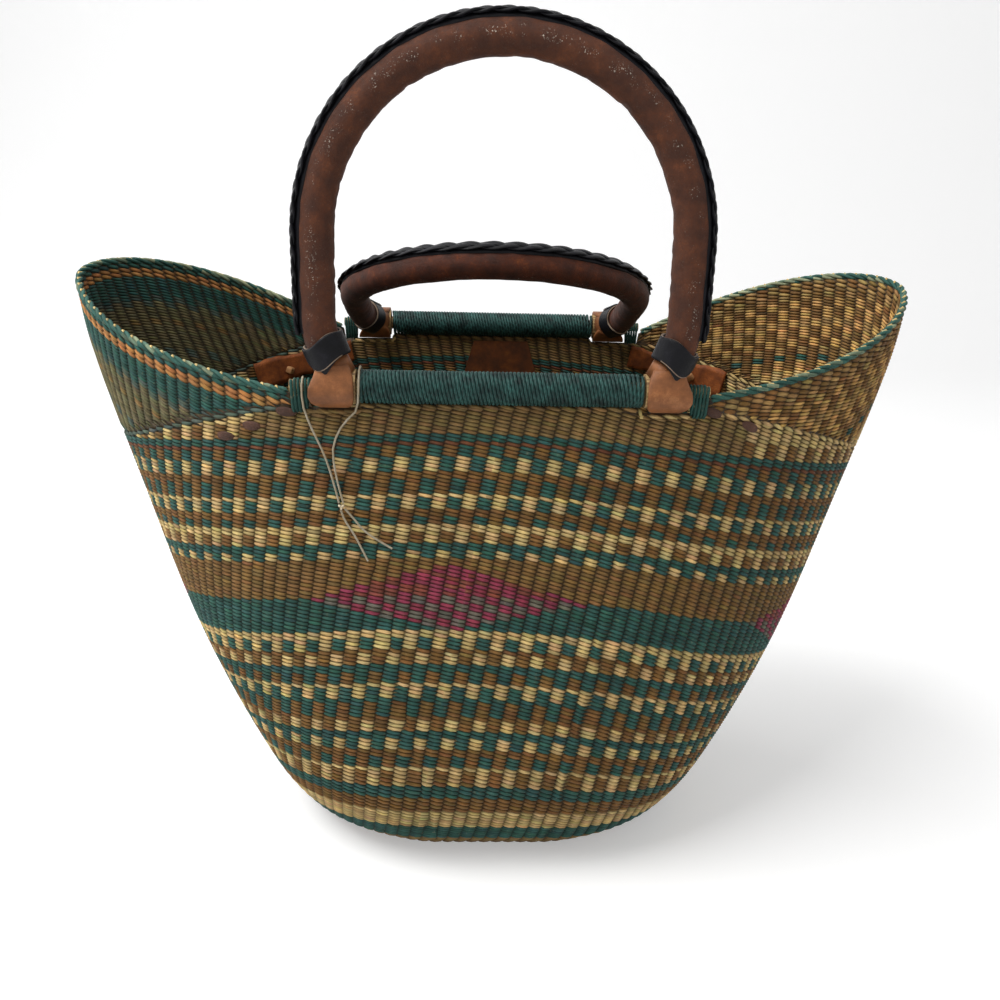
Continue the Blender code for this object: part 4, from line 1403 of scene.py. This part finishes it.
@dataclass
class Handle:
    """A stuffed leather handle with a black braid, bands and loops, folded about its bar."""

    name: str
    body: Body
    face: float
    fold: float
    braid_roll: float
    braid_period: float = 28 * MM
    bar_y: float = 0.1125
    bar_height: float = 0.308
    foot_x: float = 0.078
    foot_lean: float = math.radians(28)
    foot_run: float = 0.0165
    arch: float = 0.091
    shoulder: float = 0.072
    radius: float = 9.0 * MM
    start: float = 16.2 * MM
    braid_start: float = 0.030
    band: tuple[float, float, float] = (12.5 * MM, 27.0 * MM, 1.4 * MM)
    bar_radius: float = 8.75 * MM
    gap: float = 0.3 * MM
    strap: float = 2.0 * MM
    strap_top: float = 12.0 * MM
    braid_colour: str = "#1C1A1A"
    leaf: Stops = (  # the strap's height, inner and outer edge, in mm
        (-11.1, 78.0, 88.0), (-10.0, 75.6, 92.0), (-8.0, 74.3, 94.8), (-4.0, 73.5, 96.4),
        (1.0, 73.5, 95.8), (7.0, 74.2, 93.2), (12.0, 76.6, 92.2))

    @property
    def bend(self) -> float:
        """The radius of the leg's bend."""
        reach = self.arch - self.foot_x - self.foot_run * math.sin(self.foot_lean)
        return reach / (1 - math.cos(self.foot_lean))

    @property
    def leg(self) -> float:
        """The axis's length from the bar to the end of the bend."""
        return self.foot_run + self.bend * self.foot_lean

    def axis(self, run: np.ndarray) -> tuple[np.ndarray, np.ndarray]:
        """The handle's axis from the right foot over the arch to the left foot.

        Args:
            run: Distances along the axis from the bar on the right.

        Returns:
            The axis points as (x, 0, rise), and the directions away from the arch's inside.
        """
        straight = self.shoulder - self.leg_rise()
        half = self.leg + straight + self.arch * math.pi / 2
        mirror = run > half
        s = np.where(mirror, 2 * half - run, run)
        lean = np.clip(self.foot_lean - np.maximum(s - self.foot_run, 0) / self.bend, 0, None)
        low = np.minimum(s, self.foot_run)
        x = self.foot_x + low * math.sin(self.foot_lean)
        x = x + self.bend * (np.cos(lean) - math.cos(self.foot_lean))
        rise = low * math.cos(self.foot_lean)
        rise = rise + self.bend * (math.sin(self.foot_lean) - np.sin(lean))
        rise = rise + np.clip(s - self.leg, 0, straight)
        turn = np.clip(s - self.leg - straight, 0, None) / self.arch
        x = np.where(turn > 0, self.arch * np.cos(turn), x)
        rise = np.where(turn > 0, self.shoulder + self.arch * np.sin(turn), rise)
        angle = np.where(turn > 0, turn, -lean)
        side = np.where(mirror, -1.0, 1.0)
        zero = np.zeros_like(x)
        points = np.stack([side * x, zero, rise], axis=1)
        away = np.stack([side * np.cos(angle), zero, np.sin(angle)], axis=1)
        return points, away

    def leg_rise(self) -> float:
        """The height of the bend's end above the bar."""
        return self.foot_run * math.cos(self.foot_lean) + self.bend * math.sin(self.foot_lean)

    def length(self) -> float:
        """The axis's whole length."""
        return 2 * (self.leg + self.shoulder - self.leg_rise() + self.arch * math.pi / 2)

    def folded(self, points: np.ndarray) -> np.ndarray:
        """Turns points about the bar's axis and sets them on the bar."""
        c, s = math.cos(self.fold), math.sin(self.fold)
        x, y, z = points[..., 0], points[..., 1], points[..., 2]
        moved = np.stack([x, y * c - z * s, y * s + z * c], axis=-1)
        return moved + np.array([0.0, self.face * self.bar_y, self.bar_height])

    def sided(self, side: float, piece: str) -> str:
        """The name of a piece on one of the legs."""
        return f"{self.name}_{'left' if side < 0 else 'right'}_{piece}"

    def cover(self, look: Look) -> None:
        """The leather over the stuffing, with its lumps, creases and pressed bends."""
        run = np.linspace(self.start, self.length() - self.start, 260)
        points, away = self.axis(run)
        turns = np.linspace(0, FULL, 49)
        ways = away[:, None, :] * np.cos(turns)[None, :, None] + DEEP * np.sin(turns)[None, :, None]
        spots = points[:, None, :] + ways * self.radius
        lumps = 0.22 * MM * ripple(spots, 17 * MM, 4) + 0.10 * MM * ripple(spots, 6 * MM, 5)
        inner = np.clip(-np.cos(turns), 0, None)[None, :] ** 2
        fold = 0.5 * MM * inner * np.clip(ripple(spots * (1, 0.3, 1), 5 * MM, 9), 0, 1)
        lift = np.clip(lumps - 0.2 * MM - fold, -1.3 * MM, 0.05 * MM)
        for lip in (-1.0, 1.0):  # the leather swells on both sides of the braid
            at = (turns - self.braid_roll - lip * 0.56 + math.pi) % FULL - math.pi
            waves = 0.55 + 0.45 * np.sin(FULL * run / self.braid_period * 1.5 + lip)
            lift += 0.7 * MM * waves[:, None] * np.exp(-((at / 0.13) ** 2))[None, :]
        spots = spots + ways * lift[:, :, None]
        inner_ring = points[:, None, :] + ways * (self.radius - 1.8 * MM)
        rings = np.concatenate([inner_ring[:1], spots, inner_ring[-1:]], axis=0)
        made = rolled(self.name + "_leather_cover", self.folded(rings), look)
        placed(made, self.body, "handle_leather", self.name + "_leather", self.name + "_core")

    def braid(self, look: Look) -> None:
        """The three-strand flat braid of black leather laces, on a flat lace of its own."""
        run = np.linspace(self.braid_start, self.length() - self.braid_start, 420)
        points, away = self.axis(run)
        out = away * math.cos(self.braid_roll) + DEEP * math.sin(self.braid_roll)
        side = DEEP * math.cos(self.braid_roll) - away * math.sin(self.braid_roll)
        seat = self.radius + self.gap
        upright = self.folded(points + out) - self.folded(points)
        colours = np.tile(linear(self.braid_colour), (len(run) - 1, 1))
        piece = StrandPiece(self.name + "_black_braid", sides=8)
        for lace in range(3):
            turn = FULL * (run / self.braid_period + lace / 3)
            width = 2.15 * MM * np.sin(turn)
            rise = 0.62 * MM * np.sin(2 * turn) + (np.sqrt(seat**2 - width**2) - seat) * 0.8
            middle = points + out * (seat + 1.7 * MM + rise)[:, None] + side * width[:, None]
            facing = upright - side * (width / seat)[:, None]
            piece.strands.append(laced(self.folded(middle), facing, 0.85 * MM, 2.5 * MM, colours))
        middle = self.folded(points + out * (seat - 1.2 * MM))
        piece.strands.append(laced(middle, upright, 2.1 * MM, 4.0 * MM, colours))
        placed(piece.build(look), self.body, "black_leather", self.name + "_braid")

    def collar(self, side: float, turns: np.ndarray, low: np.ndarray, high: np.ndarray,
               near: float, thick: float) -> np.ndarray:
        """Cross-sections of leather laid round a leg.

        Args:
            side: 1 for the right leg, -1 for the left.
            turns: The angle of each cross-section, from the arch's outside.
            low: Where each starts along the axis.
            high: Where each ends.
            near: The leather's inner radius.
            thick: Its thickness.

        Returns:
            The cross-sections, each a closed line of nine points.
        """
        rings = []
        for turn, start, end in zip(turns, low, high):
            lean = -3.6 * MM * math.cos(turn) * math.sin(turn) ** 2 - 1.8 * MM * math.cos(turn)
            lean += 0.25 * MM * math.sin(3 * turn)
            soft = min(0.5 * MM, (end - start) * 0.2)
            profile = [(start, near), (start, near + thick * 0.75), (start + soft, near + thick),
                       (start + 3 * soft, near + thick), (end - 3 * soft, near + thick),
                       (end - soft, near + thick), (end, near + thick * 0.75), (end, near)]
            ring = []
            for run, reach in profile + profile[:1]:
                points, away = self.axis(np.array([run + lean]))
                way = away[0] * math.cos(turn) + DEEP * math.sin(turn)
                ring.append((points[0] + way * reach) * (side, 1, 1))
            rings.append(ring)
        return np.array(rings)

    def band_on(self, side: float, look: Look, edge: Look) -> None:
        """A black band round a leg, cut at a slant, with pale raw edges and a lapped end."""
        start, end, thick = self.band
        near = self.radius + self.gap
        turns = np.linspace(0, FULL, 65)
        rings = self.collar(side, turns, np.full(65, start), np.full(65, end), near, thick)
        made = rolled(self.sided(side, "black_band"), self.folded(rings), look, edge, second=(0, 6))
        placed(made, self.body, "black_leather", self.sided(side, "band"))
        share = np.linspace(0.0, 1.0, 31)
        turns = self.face * (2.3 - 2.1 * share)
        low = end - (end - start - 1.2 * MM) * np.sqrt(1 - share**2) - 0.9 * MM
        rings = self.collar(side, turns, low, np.full(31, end - 0.4 * MM), near + thick - 0.05 * MM,
                            0.75 * MM)
        made = rolled(self.sided(side, "band_lap"), self.folded(capped(rings)), look, edge,
                      second=(0, 1))
        placed(made, self.body, "black_leather")

    def strap_on(self, side: float, look: Look) -> None:
        """The tan strap that hangs from a leg round the bar."""
        inner = self.bar_radius + self.gap
        top = self.strap_top
        path = [(-1.0, top * (1 - t)) for t in np.linspace(0, 0.9, 7)]
        path += [(0.0, float(t)) for t in np.linspace(0, math.pi, 17)]
        path += [(1.0, top * t) for t in np.linspace(0.1, 1, 7)]
        wide = np.linspace(-1, 1, 13)
        height, inside, outside = (np.array(self.leaf) * MM).T
        rings = []
        for kind, value in path:
            layers = []
            rise = value / top if kind else 0.0
            for reach in (inner + self.strap * (1 - 0.45 * rise), inner - 0.1 * MM * rise):
                reach -= 0.9 * MM * rise
                y = kind * reach if kind else -math.cos(value) * reach
                z = value if kind else -math.sin(value) * reach
                low, high = (np.interp(z, height, leaf) for leaf in (inside, outside))
                round_y = np.sqrt((reach - 0.3 * MM) ** 2 - (7.0 * MM * wide) ** 2)
                across = y * (1 - rise) + kind * round_y * rise
                x = side * (low + (high - low) * (wide + 1) / 2)
                layers.append(np.stack([x, across, np.full(13, z)], axis=1))
            rings.append(np.concatenate([layers[0], layers[1][::-1], layers[0][:1]]))
        rings = self.folded(capped(np.array(rings)))
        made = rolled(self.sided(side, "tan_strap"), rings, look)
        soft = made.modifiers.new("soft edges", "BEVEL")
        soft.width = 0.5 * MM
        soft.segments = 2
        soft.limit_method = "ANGLE"
        placed(made, self.body, "tan_leather", self.sided(side, "loop"))

    def foot_in(self, side: float, look: Look) -> None:
        """The leg's foot, which sits in the strap over the bar."""
        around = np.linspace(0, FULL, 33)
        slim, clear = 8.3 * MM, self.bar_radius + self.gap + 0.15 * MM
        lean_cos, lean_sin = math.cos(self.foot_lean), math.sin(self.foot_lean)
        spots = []
        for part in (0.0, 0.3, 0.55, 0.78, 1.0, 1.0):
            y = part * slim * np.sin(around)
            fall = part * slim * np.cos(around)
            run = (np.sqrt(clear**2 - y**2) + fall * lean_sin) / lean_cos
            if len(spots) == 5:
                run = np.full(33, 16.0 * MM)
            x = self.foot_x + run * lean_sin + fall * lean_cos
            spots.append(np.stack([side * x, y, run * lean_cos - fall * lean_sin], axis=1))
        spots.append(np.repeat(spots[-1].mean(0, keepdims=True), 33, 0))
        foot = rolled(self.sided(side, "foot"), self.folded(np.array(spots)), look)
        placed(foot, self.body, "tan_leather")

    def build(self, cover: Look, black: Look, edge: Look, tan: Look) -> None:
        """Makes the handle's pieces."""
        self.cover(cover)
        self.braid(black)
        for side in (-1.0, 1.0):
            self.band_on(side, black, edge)
            self.strap_on(side, tan)
            self.foot_in(side, tan)


@dataclass
class FreeTwine:
    """The thin twine tied round the front bar's left end: a loop, a knot and two tails."""

    diameter: float = 1.1 * MM
    knot: tuple[float, float, float] = (-0.0816, -0.11927, 0.2458)
    knot_radius: float = 1.7 * MM
    loop: Stops = (
        (-0.0805, -0.11906, 0.2477), (-0.0838, -0.11854, 0.262), (-0.085, -0.11835, 0.277),
        (-0.08, -0.11842, 0.289), (-0.073, -0.11841, 0.2965), (-0.0712, -0.12218, 0.30594),
        (-0.0711, -0.11847, 0.31564), (-0.0711, -0.11095, 0.31778), (-0.0711, -0.10358, 0.31295),
        (-0.0714, -0.10139, 0.30502), (-0.0728, -0.1026, 0.297), (-0.0788, -0.10551, 0.29152),
        (-0.089, -0.10681, 0.2905), (-0.098, -0.10592, 0.29508), (-0.0995, -0.10625, 0.30453),
        (-0.0998, -0.11152, 0.31224), (-0.0998, -0.11783, 0.30847), (-0.0992, -0.11813, 0.298),
        (-0.0955, -0.11799, 0.287), (-0.0892, -0.11811, 0.272), (-0.0847, -0.1185, 0.256),
        (-0.0828, -0.11883, 0.2477),
    )
    short_tail: Stops = (
        (-0.0818, -0.11897, 0.2436), (-0.0799, -0.11874, 0.238), (-0.0748, -0.1193, 0.2295),
        (-0.0683, -0.12009, 0.216),
    )
    long_tail: Stops = (
        (-0.0797, -0.11915, 0.2446), (-0.076, -0.11901, 0.24), (-0.0685, -0.11952, 0.2315),
        (-0.0555, -0.11986, 0.223),
    )

    def route(self, stops: Stops, count: int) -> np.ndarray:
        """Points evenly spaced on the smooth curve through a route's stops.

        Args:
            stops: The route's stops.
            count: How many points to give.

        Returns:
            The points.
        """
        spots = np.array(stops)
        fine = []
        for i in range(len(spots) - 1):
            before, a, b = spots[max(i - 1, 0)], spots[i], spots[i + 1]
            after = spots[min(i + 2, len(spots) - 1)]
            for t in np.arange(12) / 12:
                fine.append(0.5 * (2 * a + (b - before) * t
                                   + (2 * before - 5 * a + 4 * b - after) * t * t
                                   + (3 * a - before - 3 * b + after) * t**3))
        fine = np.array(fine + [spots[-1]])
        run = distances(fine)
        return read_line(fine, run, np.linspace(0, run[-1], count))

    def lay(self, name: str, node: str, stops: Stops, count: int, look: Look) -> None:
        """Args:
            name: The piece's name.
            node: The frame's node it stands for.
            stops: The route's stops.
            count: The points of its curve.
            look: Its finish.
        """
        points = self.route(stops, count)
        curve = bpy.data.curves.new(name, "CURVE")
        curve.dimensions = "3D"
        spline = curve.splines.new("POLY")
        spline.points.add(len(points) - 1)
        for knob, spot in zip(spline.points, points):
            knob.co = (*spot, 1.0)
        curve.bevel_depth = self.diameter / 2
        curve.bevel_resolution = 4
        curve.use_fill_caps = True
        curve.materials.append(look)
        made = linked(name, curve)
        placed(made, Body.BASKET, "twine", node)

    def build(self, look: Look) -> None:
        """Ties the knot and lays the loop and the tails."""
        turn = np.linspace(0, FULL, 61)[:-1]
        reach = self.knot_radius - 0.5 * MM
        middle = np.stack([reach * (np.sin(turn) + 0.5 * np.sin(2 * turn)) / 1.4,
                           0.55 * reach * np.sin(3 * turn),
                           reach * (np.cos(turn) - 0.5 * np.cos(2 * turn)) / 1.4], axis=1)
        middle = middle + np.array(self.knot)
        out = unit(middle - np.array(self.knot) + 1e-6)
        tied = laced(middle, out, self.diameter / 2, self.diameter / 2, np.full((60, 3), 0.5),
                     closed=True)
        piece = StrandPiece("twine_tied_knot", sides=8, strands=[tied])
        knot = placed(piece.build(look), Body.BASKET, "twine", "twine_knot")
        self.lay("free_twine_loop", "twine_loop", self.loop, 40, look)
        self.lay("free_twine_short_tail", "twine_short_tail", self.short_tail, 15, look)
        self.lay("free_twine_long_tail", "twine_long_tail", self.long_tail, 15, look)


@dataclass
class InnerLeather:
    """The leather on the basket's inside and seams: anchors and the lacing."""

    skin: Skin
    span: tuple[float, float] = (0.105, 0.176)
    lift: float = 5 * MM
    below_seat: float = 3.5 * MM
    drop: float = 18 * MM
    width: float = 15 * MM
    thickness: float = 1.8 * MM
    clearance: float = 0.7 * MM
    stitches: tuple[tuple[float, Stops, Stops], ...] = (
        (2.0, ((4.0, -1.0), (28.0, 3.0)), ((6.0, 1.0), (24.5, 1.0), (42.5, 1.0))),
        (6.0, ((6.0, 1.0), (24.5, 1.0), (42.5, 1.0)), ((4.0, 2.0), (25.0, 7.0), (42.5, 10.0))),
    )

    def anchor(self, name: str, node: str, quarter: int, look: Look, knots: Look) -> None:
        """A strap with wavy edges along the inside of the wall.

        Args:
            name: The piece's name.
            node: The frame's node.
            quarter: Which quarter of the basket, from the front right against the clock.
            look: Its finish.
            knots: The finish of the two knots on it.
        """
        skin = self.skin
        fine = np.linspace(2 * quarter, 2 * quarter + 2, 801)
        x = skin.aside(fine)
        order = np.argsort(x)
        share = np.linspace(0, 1, 61)
        at = np.interp(self.span[0] + (self.span[1] - self.span[0]) * share, x[order], fine[order])
        top = skin.seat - self.below_seat - self.drop * share
        lift = self.lift * share
        wave = 0.9 * MM * np.sin(share * 15 + quarter) + 0.3 * MM * np.sin(share * 47 + 2 * quarter)
        near = skin.thickness + self.clearance
        levels = np.linspace(0, 1, 7)
        rings = []
        for depth, line in ((near + self.thickness, levels), (near, levels[::-1])):
            for level in line:
                z = top - 0.5 * MM - (self.width - 1.0 * MM) * level + wave * (1 - 2 * level) * 0.8
                z = z + lift * (1 - level)
                lump = 0.12 * MM * np.sin(share * 33 + 5 * level)
                inset = depth + (lump if depth > near else 0.0) * np.ones_like(z)
                outer = skin.spot(at, z, near)
                inner = skin.spot(at, z, near + self.thickness)
                rings.append(outer + (inner - outer) * ((inset - near) / self.thickness)[:, None])
        rings = capped(np.stack(rings + rings[:1], axis=1))
        placed(rolled(name, rings, look), Body.BASKET, "anchor_leather", node)
        bm = bmesh.new()
        for number, portion in enumerate((0.34, 0.68)):
            g = np.array([np.interp(portion, share, at)])
            z = np.array([skin.seat - self.below_seat - self.drop * portion - self.width * 0.5])
            spot = Vector(skin.spot(g, z, near + self.thickness + 1.2 * MM)[0])
            turned = Matrix.Rotation(0.5 + number + quarter, 4, "Y") @ Matrix.Rotation(0.4, 4, "Z")
            bmesh.ops.create_cube(bm, size=4.6 * MM, matrix=Matrix.Translation(spot) @ turned)
        bmesh.ops.bevel(bm, geom=bm.edges[:], offset=0.9 * MM, offset_type="OFFSET", segments=3,
                        profile=0.5, affect="EDGES", material=-1)
        mesh = mesh_of(bm, name + "_knots")
        placed(welded(name + "_knots", mesh, knots), Body.BASKET, "anchor_leather")

    def lacing(self, look: Look) -> None:
        """Short leather stitches that tie the wings to the wall along the seams."""
        skin = self.skin
        draw = np.random.default_rng(8)
        piece = StrandPiece("seam_lacing", sides=10)
        for middle, first, second in self.stitches:
            g = np.linspace(middle - 1.9, middle + 1.9, 801)
            line = skin.spot(g, skin.seam(g), 0.0)
            run = distances(line)
            starts = run[np.flatnonzero(skin.wing_share(g) > 0)[[0, -1]]]
            spots = [(starts[0] + at * MM, drop * MM) for at, drop in first]
            spots += [(starts[1] - at * MM, drop * MM) for at, drop in second]
            for at, drop in spots:
                share = np.linspace(-1, 1, 13)
                spot_g = np.interp(at + share * 5.6 * MM, run, g)
                lean = 1.2 * MM * share + drop
                points, down = skin.facing(spot_g, skin.seam(spot_g) - lean, 0.0)
                ahead = along_line(points)
                out = unit(np.cross(down, ahead))
                bulge = np.clip(1 - share**2, 0, 1) ** 0.5
                points = points + out * (0.9 * MM * bulge - 0.7 * MM)[:, None]
                tone = np.array(linear("#5E3A2C")) * (1 + 0.1 * draw.standard_normal())
                piece.strands.append(Strand(points, out, unit(np.cross(ahead, out)),
                                            0.8 * MM * bulge + 1e-6, 2.6 * MM * bulge + 1e-6,
                                            np.tile(tone, (12, 1)), np.ones(13), False))
        placed(piece.build(look), Body.BASKET, "anchor_leather")


def straight_rays(tree: Tree) -> Socket:
    """1 for rays that the camera, a gloss or a clear piece sends, 0 for light's own."""
    rays = add(tree, "NodeLightPath")
    seen = maths(tree, "MAXIMUM", rays.outputs["Is Camera Ray"], rays.outputs["Is Glossy Ray"])
    return maths(tree, "MAXIMUM", seen, rays.outputs["Is Transmission Ray"])


@dataclass
class Studio:
    """The pale floor, the soft light and the camera at the photograph's angle."""

    eye: tuple[float, float, float] = (-0.0165, -0.5963, 0.4099)
    pitch: float = 18.45
    yaw: float = -2.06
    roll: float = 1.43
    focal_pixels: float = 967.8

    def camera(self) -> None:
        """Sets the camera as fitted to the photograph."""
        data = bpy.data.cameras.new("camera")
        data.sensor_width = 36.0
        data.lens = self.focal_pixels * 36.0 / 1000
        made = linked("camera", data)
        made.location = self.eye
        aim = (Matrix.Rotation(math.radians(self.yaw), 3, "Z")
               @ Matrix.Rotation(math.radians(90 - self.pitch), 3, "X")
               @ Matrix.Rotation(math.radians(self.roll), 3, "Z"))
        made.rotation_euler = aim.to_euler()
        bpy.context.scene.camera = made

    def floor(self) -> None:
        """A plain pale floor that keeps the object's shadow."""
        look, tree, shader = blank("painted_board_matt")
        shader.inputs["Base Color"].default_value = (0.78, 0.78, 0.78, 1)
        shader.inputs["Roughness"].default_value = 0.9
        shader.inputs["Specular IOR Level"].default_value = 0.1
        glow = maths(tree, "MULTIPLY", straight_rays(tree), 0.34)
        tree.links.new(glow, shader.inputs["Emission Strength"])
        shader.inputs["Emission Color"].default_value = (1, 1, 1, 1)
        bm = bmesh.new()
        bmesh.ops.create_grid(bm, x_segments=1, y_segments=24, size=1.0)
        bend, start = 0.9, 1.6
        for vert in bm.verts:
            step = (vert.co.y + 1) / 2 * 24
            turn = min(max(step - 2, 0) / 20, 1) * math.pi / 2
            far = start + bend * math.sin(turn) if step >= 2 else -5.0 + (start + 5.0) * step / 2
            rise = bend * (1 - math.cos(turn)) + max(step - 22, 0) * 2.5
            vert.co = (vert.co.x * 6.0, far, rise)
        mesh = mesh_of(bm, "floor")
        mesh.shade_smooth()
        mesh.materials.append(look)
        linked("floor", mesh)

    def light(self) -> None:
        """A soft lamp in front above, and an even pale surround."""
        world = bpy.data.worlds.new("pale_surround")
        bpy.context.scene.world = world
        world.use_nodes = True
        tree = world.node_tree
        sky = tree.nodes["Background"]
        power = spread(tree, straight_rays(tree), 0, 1, 0.5, 1.0)
        tree.links.new(power, sky.inputs["Strength"])
        sky.inputs["Color"].default_value = (1, 1, 1, 1)
        for name, spot, size, watts in (("key", (-0.9, -0.6, 2.1), 1.2, 42.0),
                                        ("fill", (-1.5, 0.4, 1.4), 1.4, 16.0)):
            lamp = bpy.data.lights.new(name, "AREA")
            lamp.size = size
            lamp.energy = watts
            made = linked(name, lamp)
            made.location = spot
            made.rotation_euler = (Vector((0, 0, 0.2)) - Vector(spot)).to_track_quat("-Z", "Y").to_euler()

    def build(self) -> None:
        """Builds the studio."""
        self.camera()
        self.floor()
        self.light()
        bpy.context.scene.view_settings.view_transform = "Standard"


def main() -> None:
    """Builds the basket piece by piece."""
    logging.basicConfig(level=logging.INFO, format="%(name)s: %(message)s")
    skin = Skin()
    Studio().build()
    twine = TwistedCord("cotton_twine_twisted", "#FFF3DA", "#E2CEA8", ply=0.9 * MM, fibre=0.2 * MM)
    FreeTwine().build(twine.build())
    straw = TwinedStraw().build()
    stalks = GrassBundle().build()
    # The stakes are a dark copy of the bundle: painted shade that fills the gaps between strands and the
    # line under the bars.
    stakes = GrassBundle("grass_stakes_in_weave", "#4E3B20", "#241A0E").build()
    Wall(skin).build(straw, stakes)
    left = Wing(skin, "left_wing", 6.0, (
        (1, "TT"), (2, "YY"), (6, "TT"), (2, "ST"), (2, "LS"), (4, "LL"), (2, "LN"), (8, "LL"),
        (3, "LS"), (6, "LL"), (19, "SS")))
    right = Wing(skin, "right_wing", 2.0, (
        (2, "BA"), (3, "AB"), (3, "BG"), (4, "GB"), (3, "AG"), (4, "GB"), (3, "BG"), (3, "AB"),
        (2, "TB"), (4, "GB"), (3, "CG"), (9, "CC")))
    for wing in (left, right):
        wing.build(straw, stakes)
        RimBraid(skin, wing).build(straw)
    Base(skin).build(straw, stakes)
    cord = TwistedCord("teal_straw_cord_two_ply", "#35605A", "#0A201E").build()
    for name, face in (("front_bar", -1.0), ("rear_bar", 1.0)):
        RimBar(name, face).build(cord, stalks, straw)
    black = Leather("goat_leather_black_dyed", "#15151A", "#0A0A0D", "#2C2A30", grain=0.7 * MM,
                    depth=0.12 * MM, roughness=0.4, gloss=0.14)
    edge = Leather("goat_leather_raw_cut_edge", "#A08C78", "#6E5C4C", "#BBA890", grain=0.5 * MM)
    tan = Leather("goat_leather_tan_smooth", "#965F38", "#6C4225", "#BC8556", grain=0.5 * MM,
                  patch=12 * MM, depth=0.08 * MM, roughness=0.5)
    suede = Leather("goat_leather_red_brown_nubuck", "#572E18", "#3A1D0F", "#764325",
                    grain=1.1 * MM, specks=1.0, roughness=0.72, sheen=0.05)
    rust = Leather("goat_leather_rust_nubuck", "#54250D", "#321406", "#7C4018", grain=1.1 * MM,
                   specks=0.6, roughness=0.7, sheen=0.05)
    trim = (black.build(), edge.build(), tan.build())
    front = Handle("front_handle", Body.FRONT_HANDLE, -1.0, 0.0, math.radians(-12))
    front.build(suede.build(), *trim)
    rear = Handle("rear_handle", Body.REAR_HANDLE, 1.0, math.radians(70), math.radians(50),
                  braid_period=38 * MM)
    rear.build(rust.build(), *trim)
    strap = Leather("cow_leather_dry_brown", "#96501F", "#5A2C10", "#B46E38", grain=0.8 * MM).build()
    knot = Leather("cow_leather_knotted_thong", "#C49A6C", "#8E6038", "#DDBB90", grain=0.6 * MM).build()
    lace = Leather("goat_leather_lacing_dull", "#5C3B2C", "#3A241A", "#7A5746", grain=0.9 * MM,
                   depth=0.4 * MM).build()
    leather = InnerLeather(skin)
    for name, quarter in (("front_right", 0), ("rear_right", 1), ("rear_left", 2), ("front_left", 3)):
        leather.anchor(name + "_anchor_strap", name + "_anchor", quarter, strap, knot)
    leather.lacing(lace)
    patch = Leather("cow_leather_bare_patch", "#5F300A", "#3C1C05", "#7E4A16", grain=0.6 * MM).build()
    dress("label", patch)


if __name__ == "__main__":
    main()
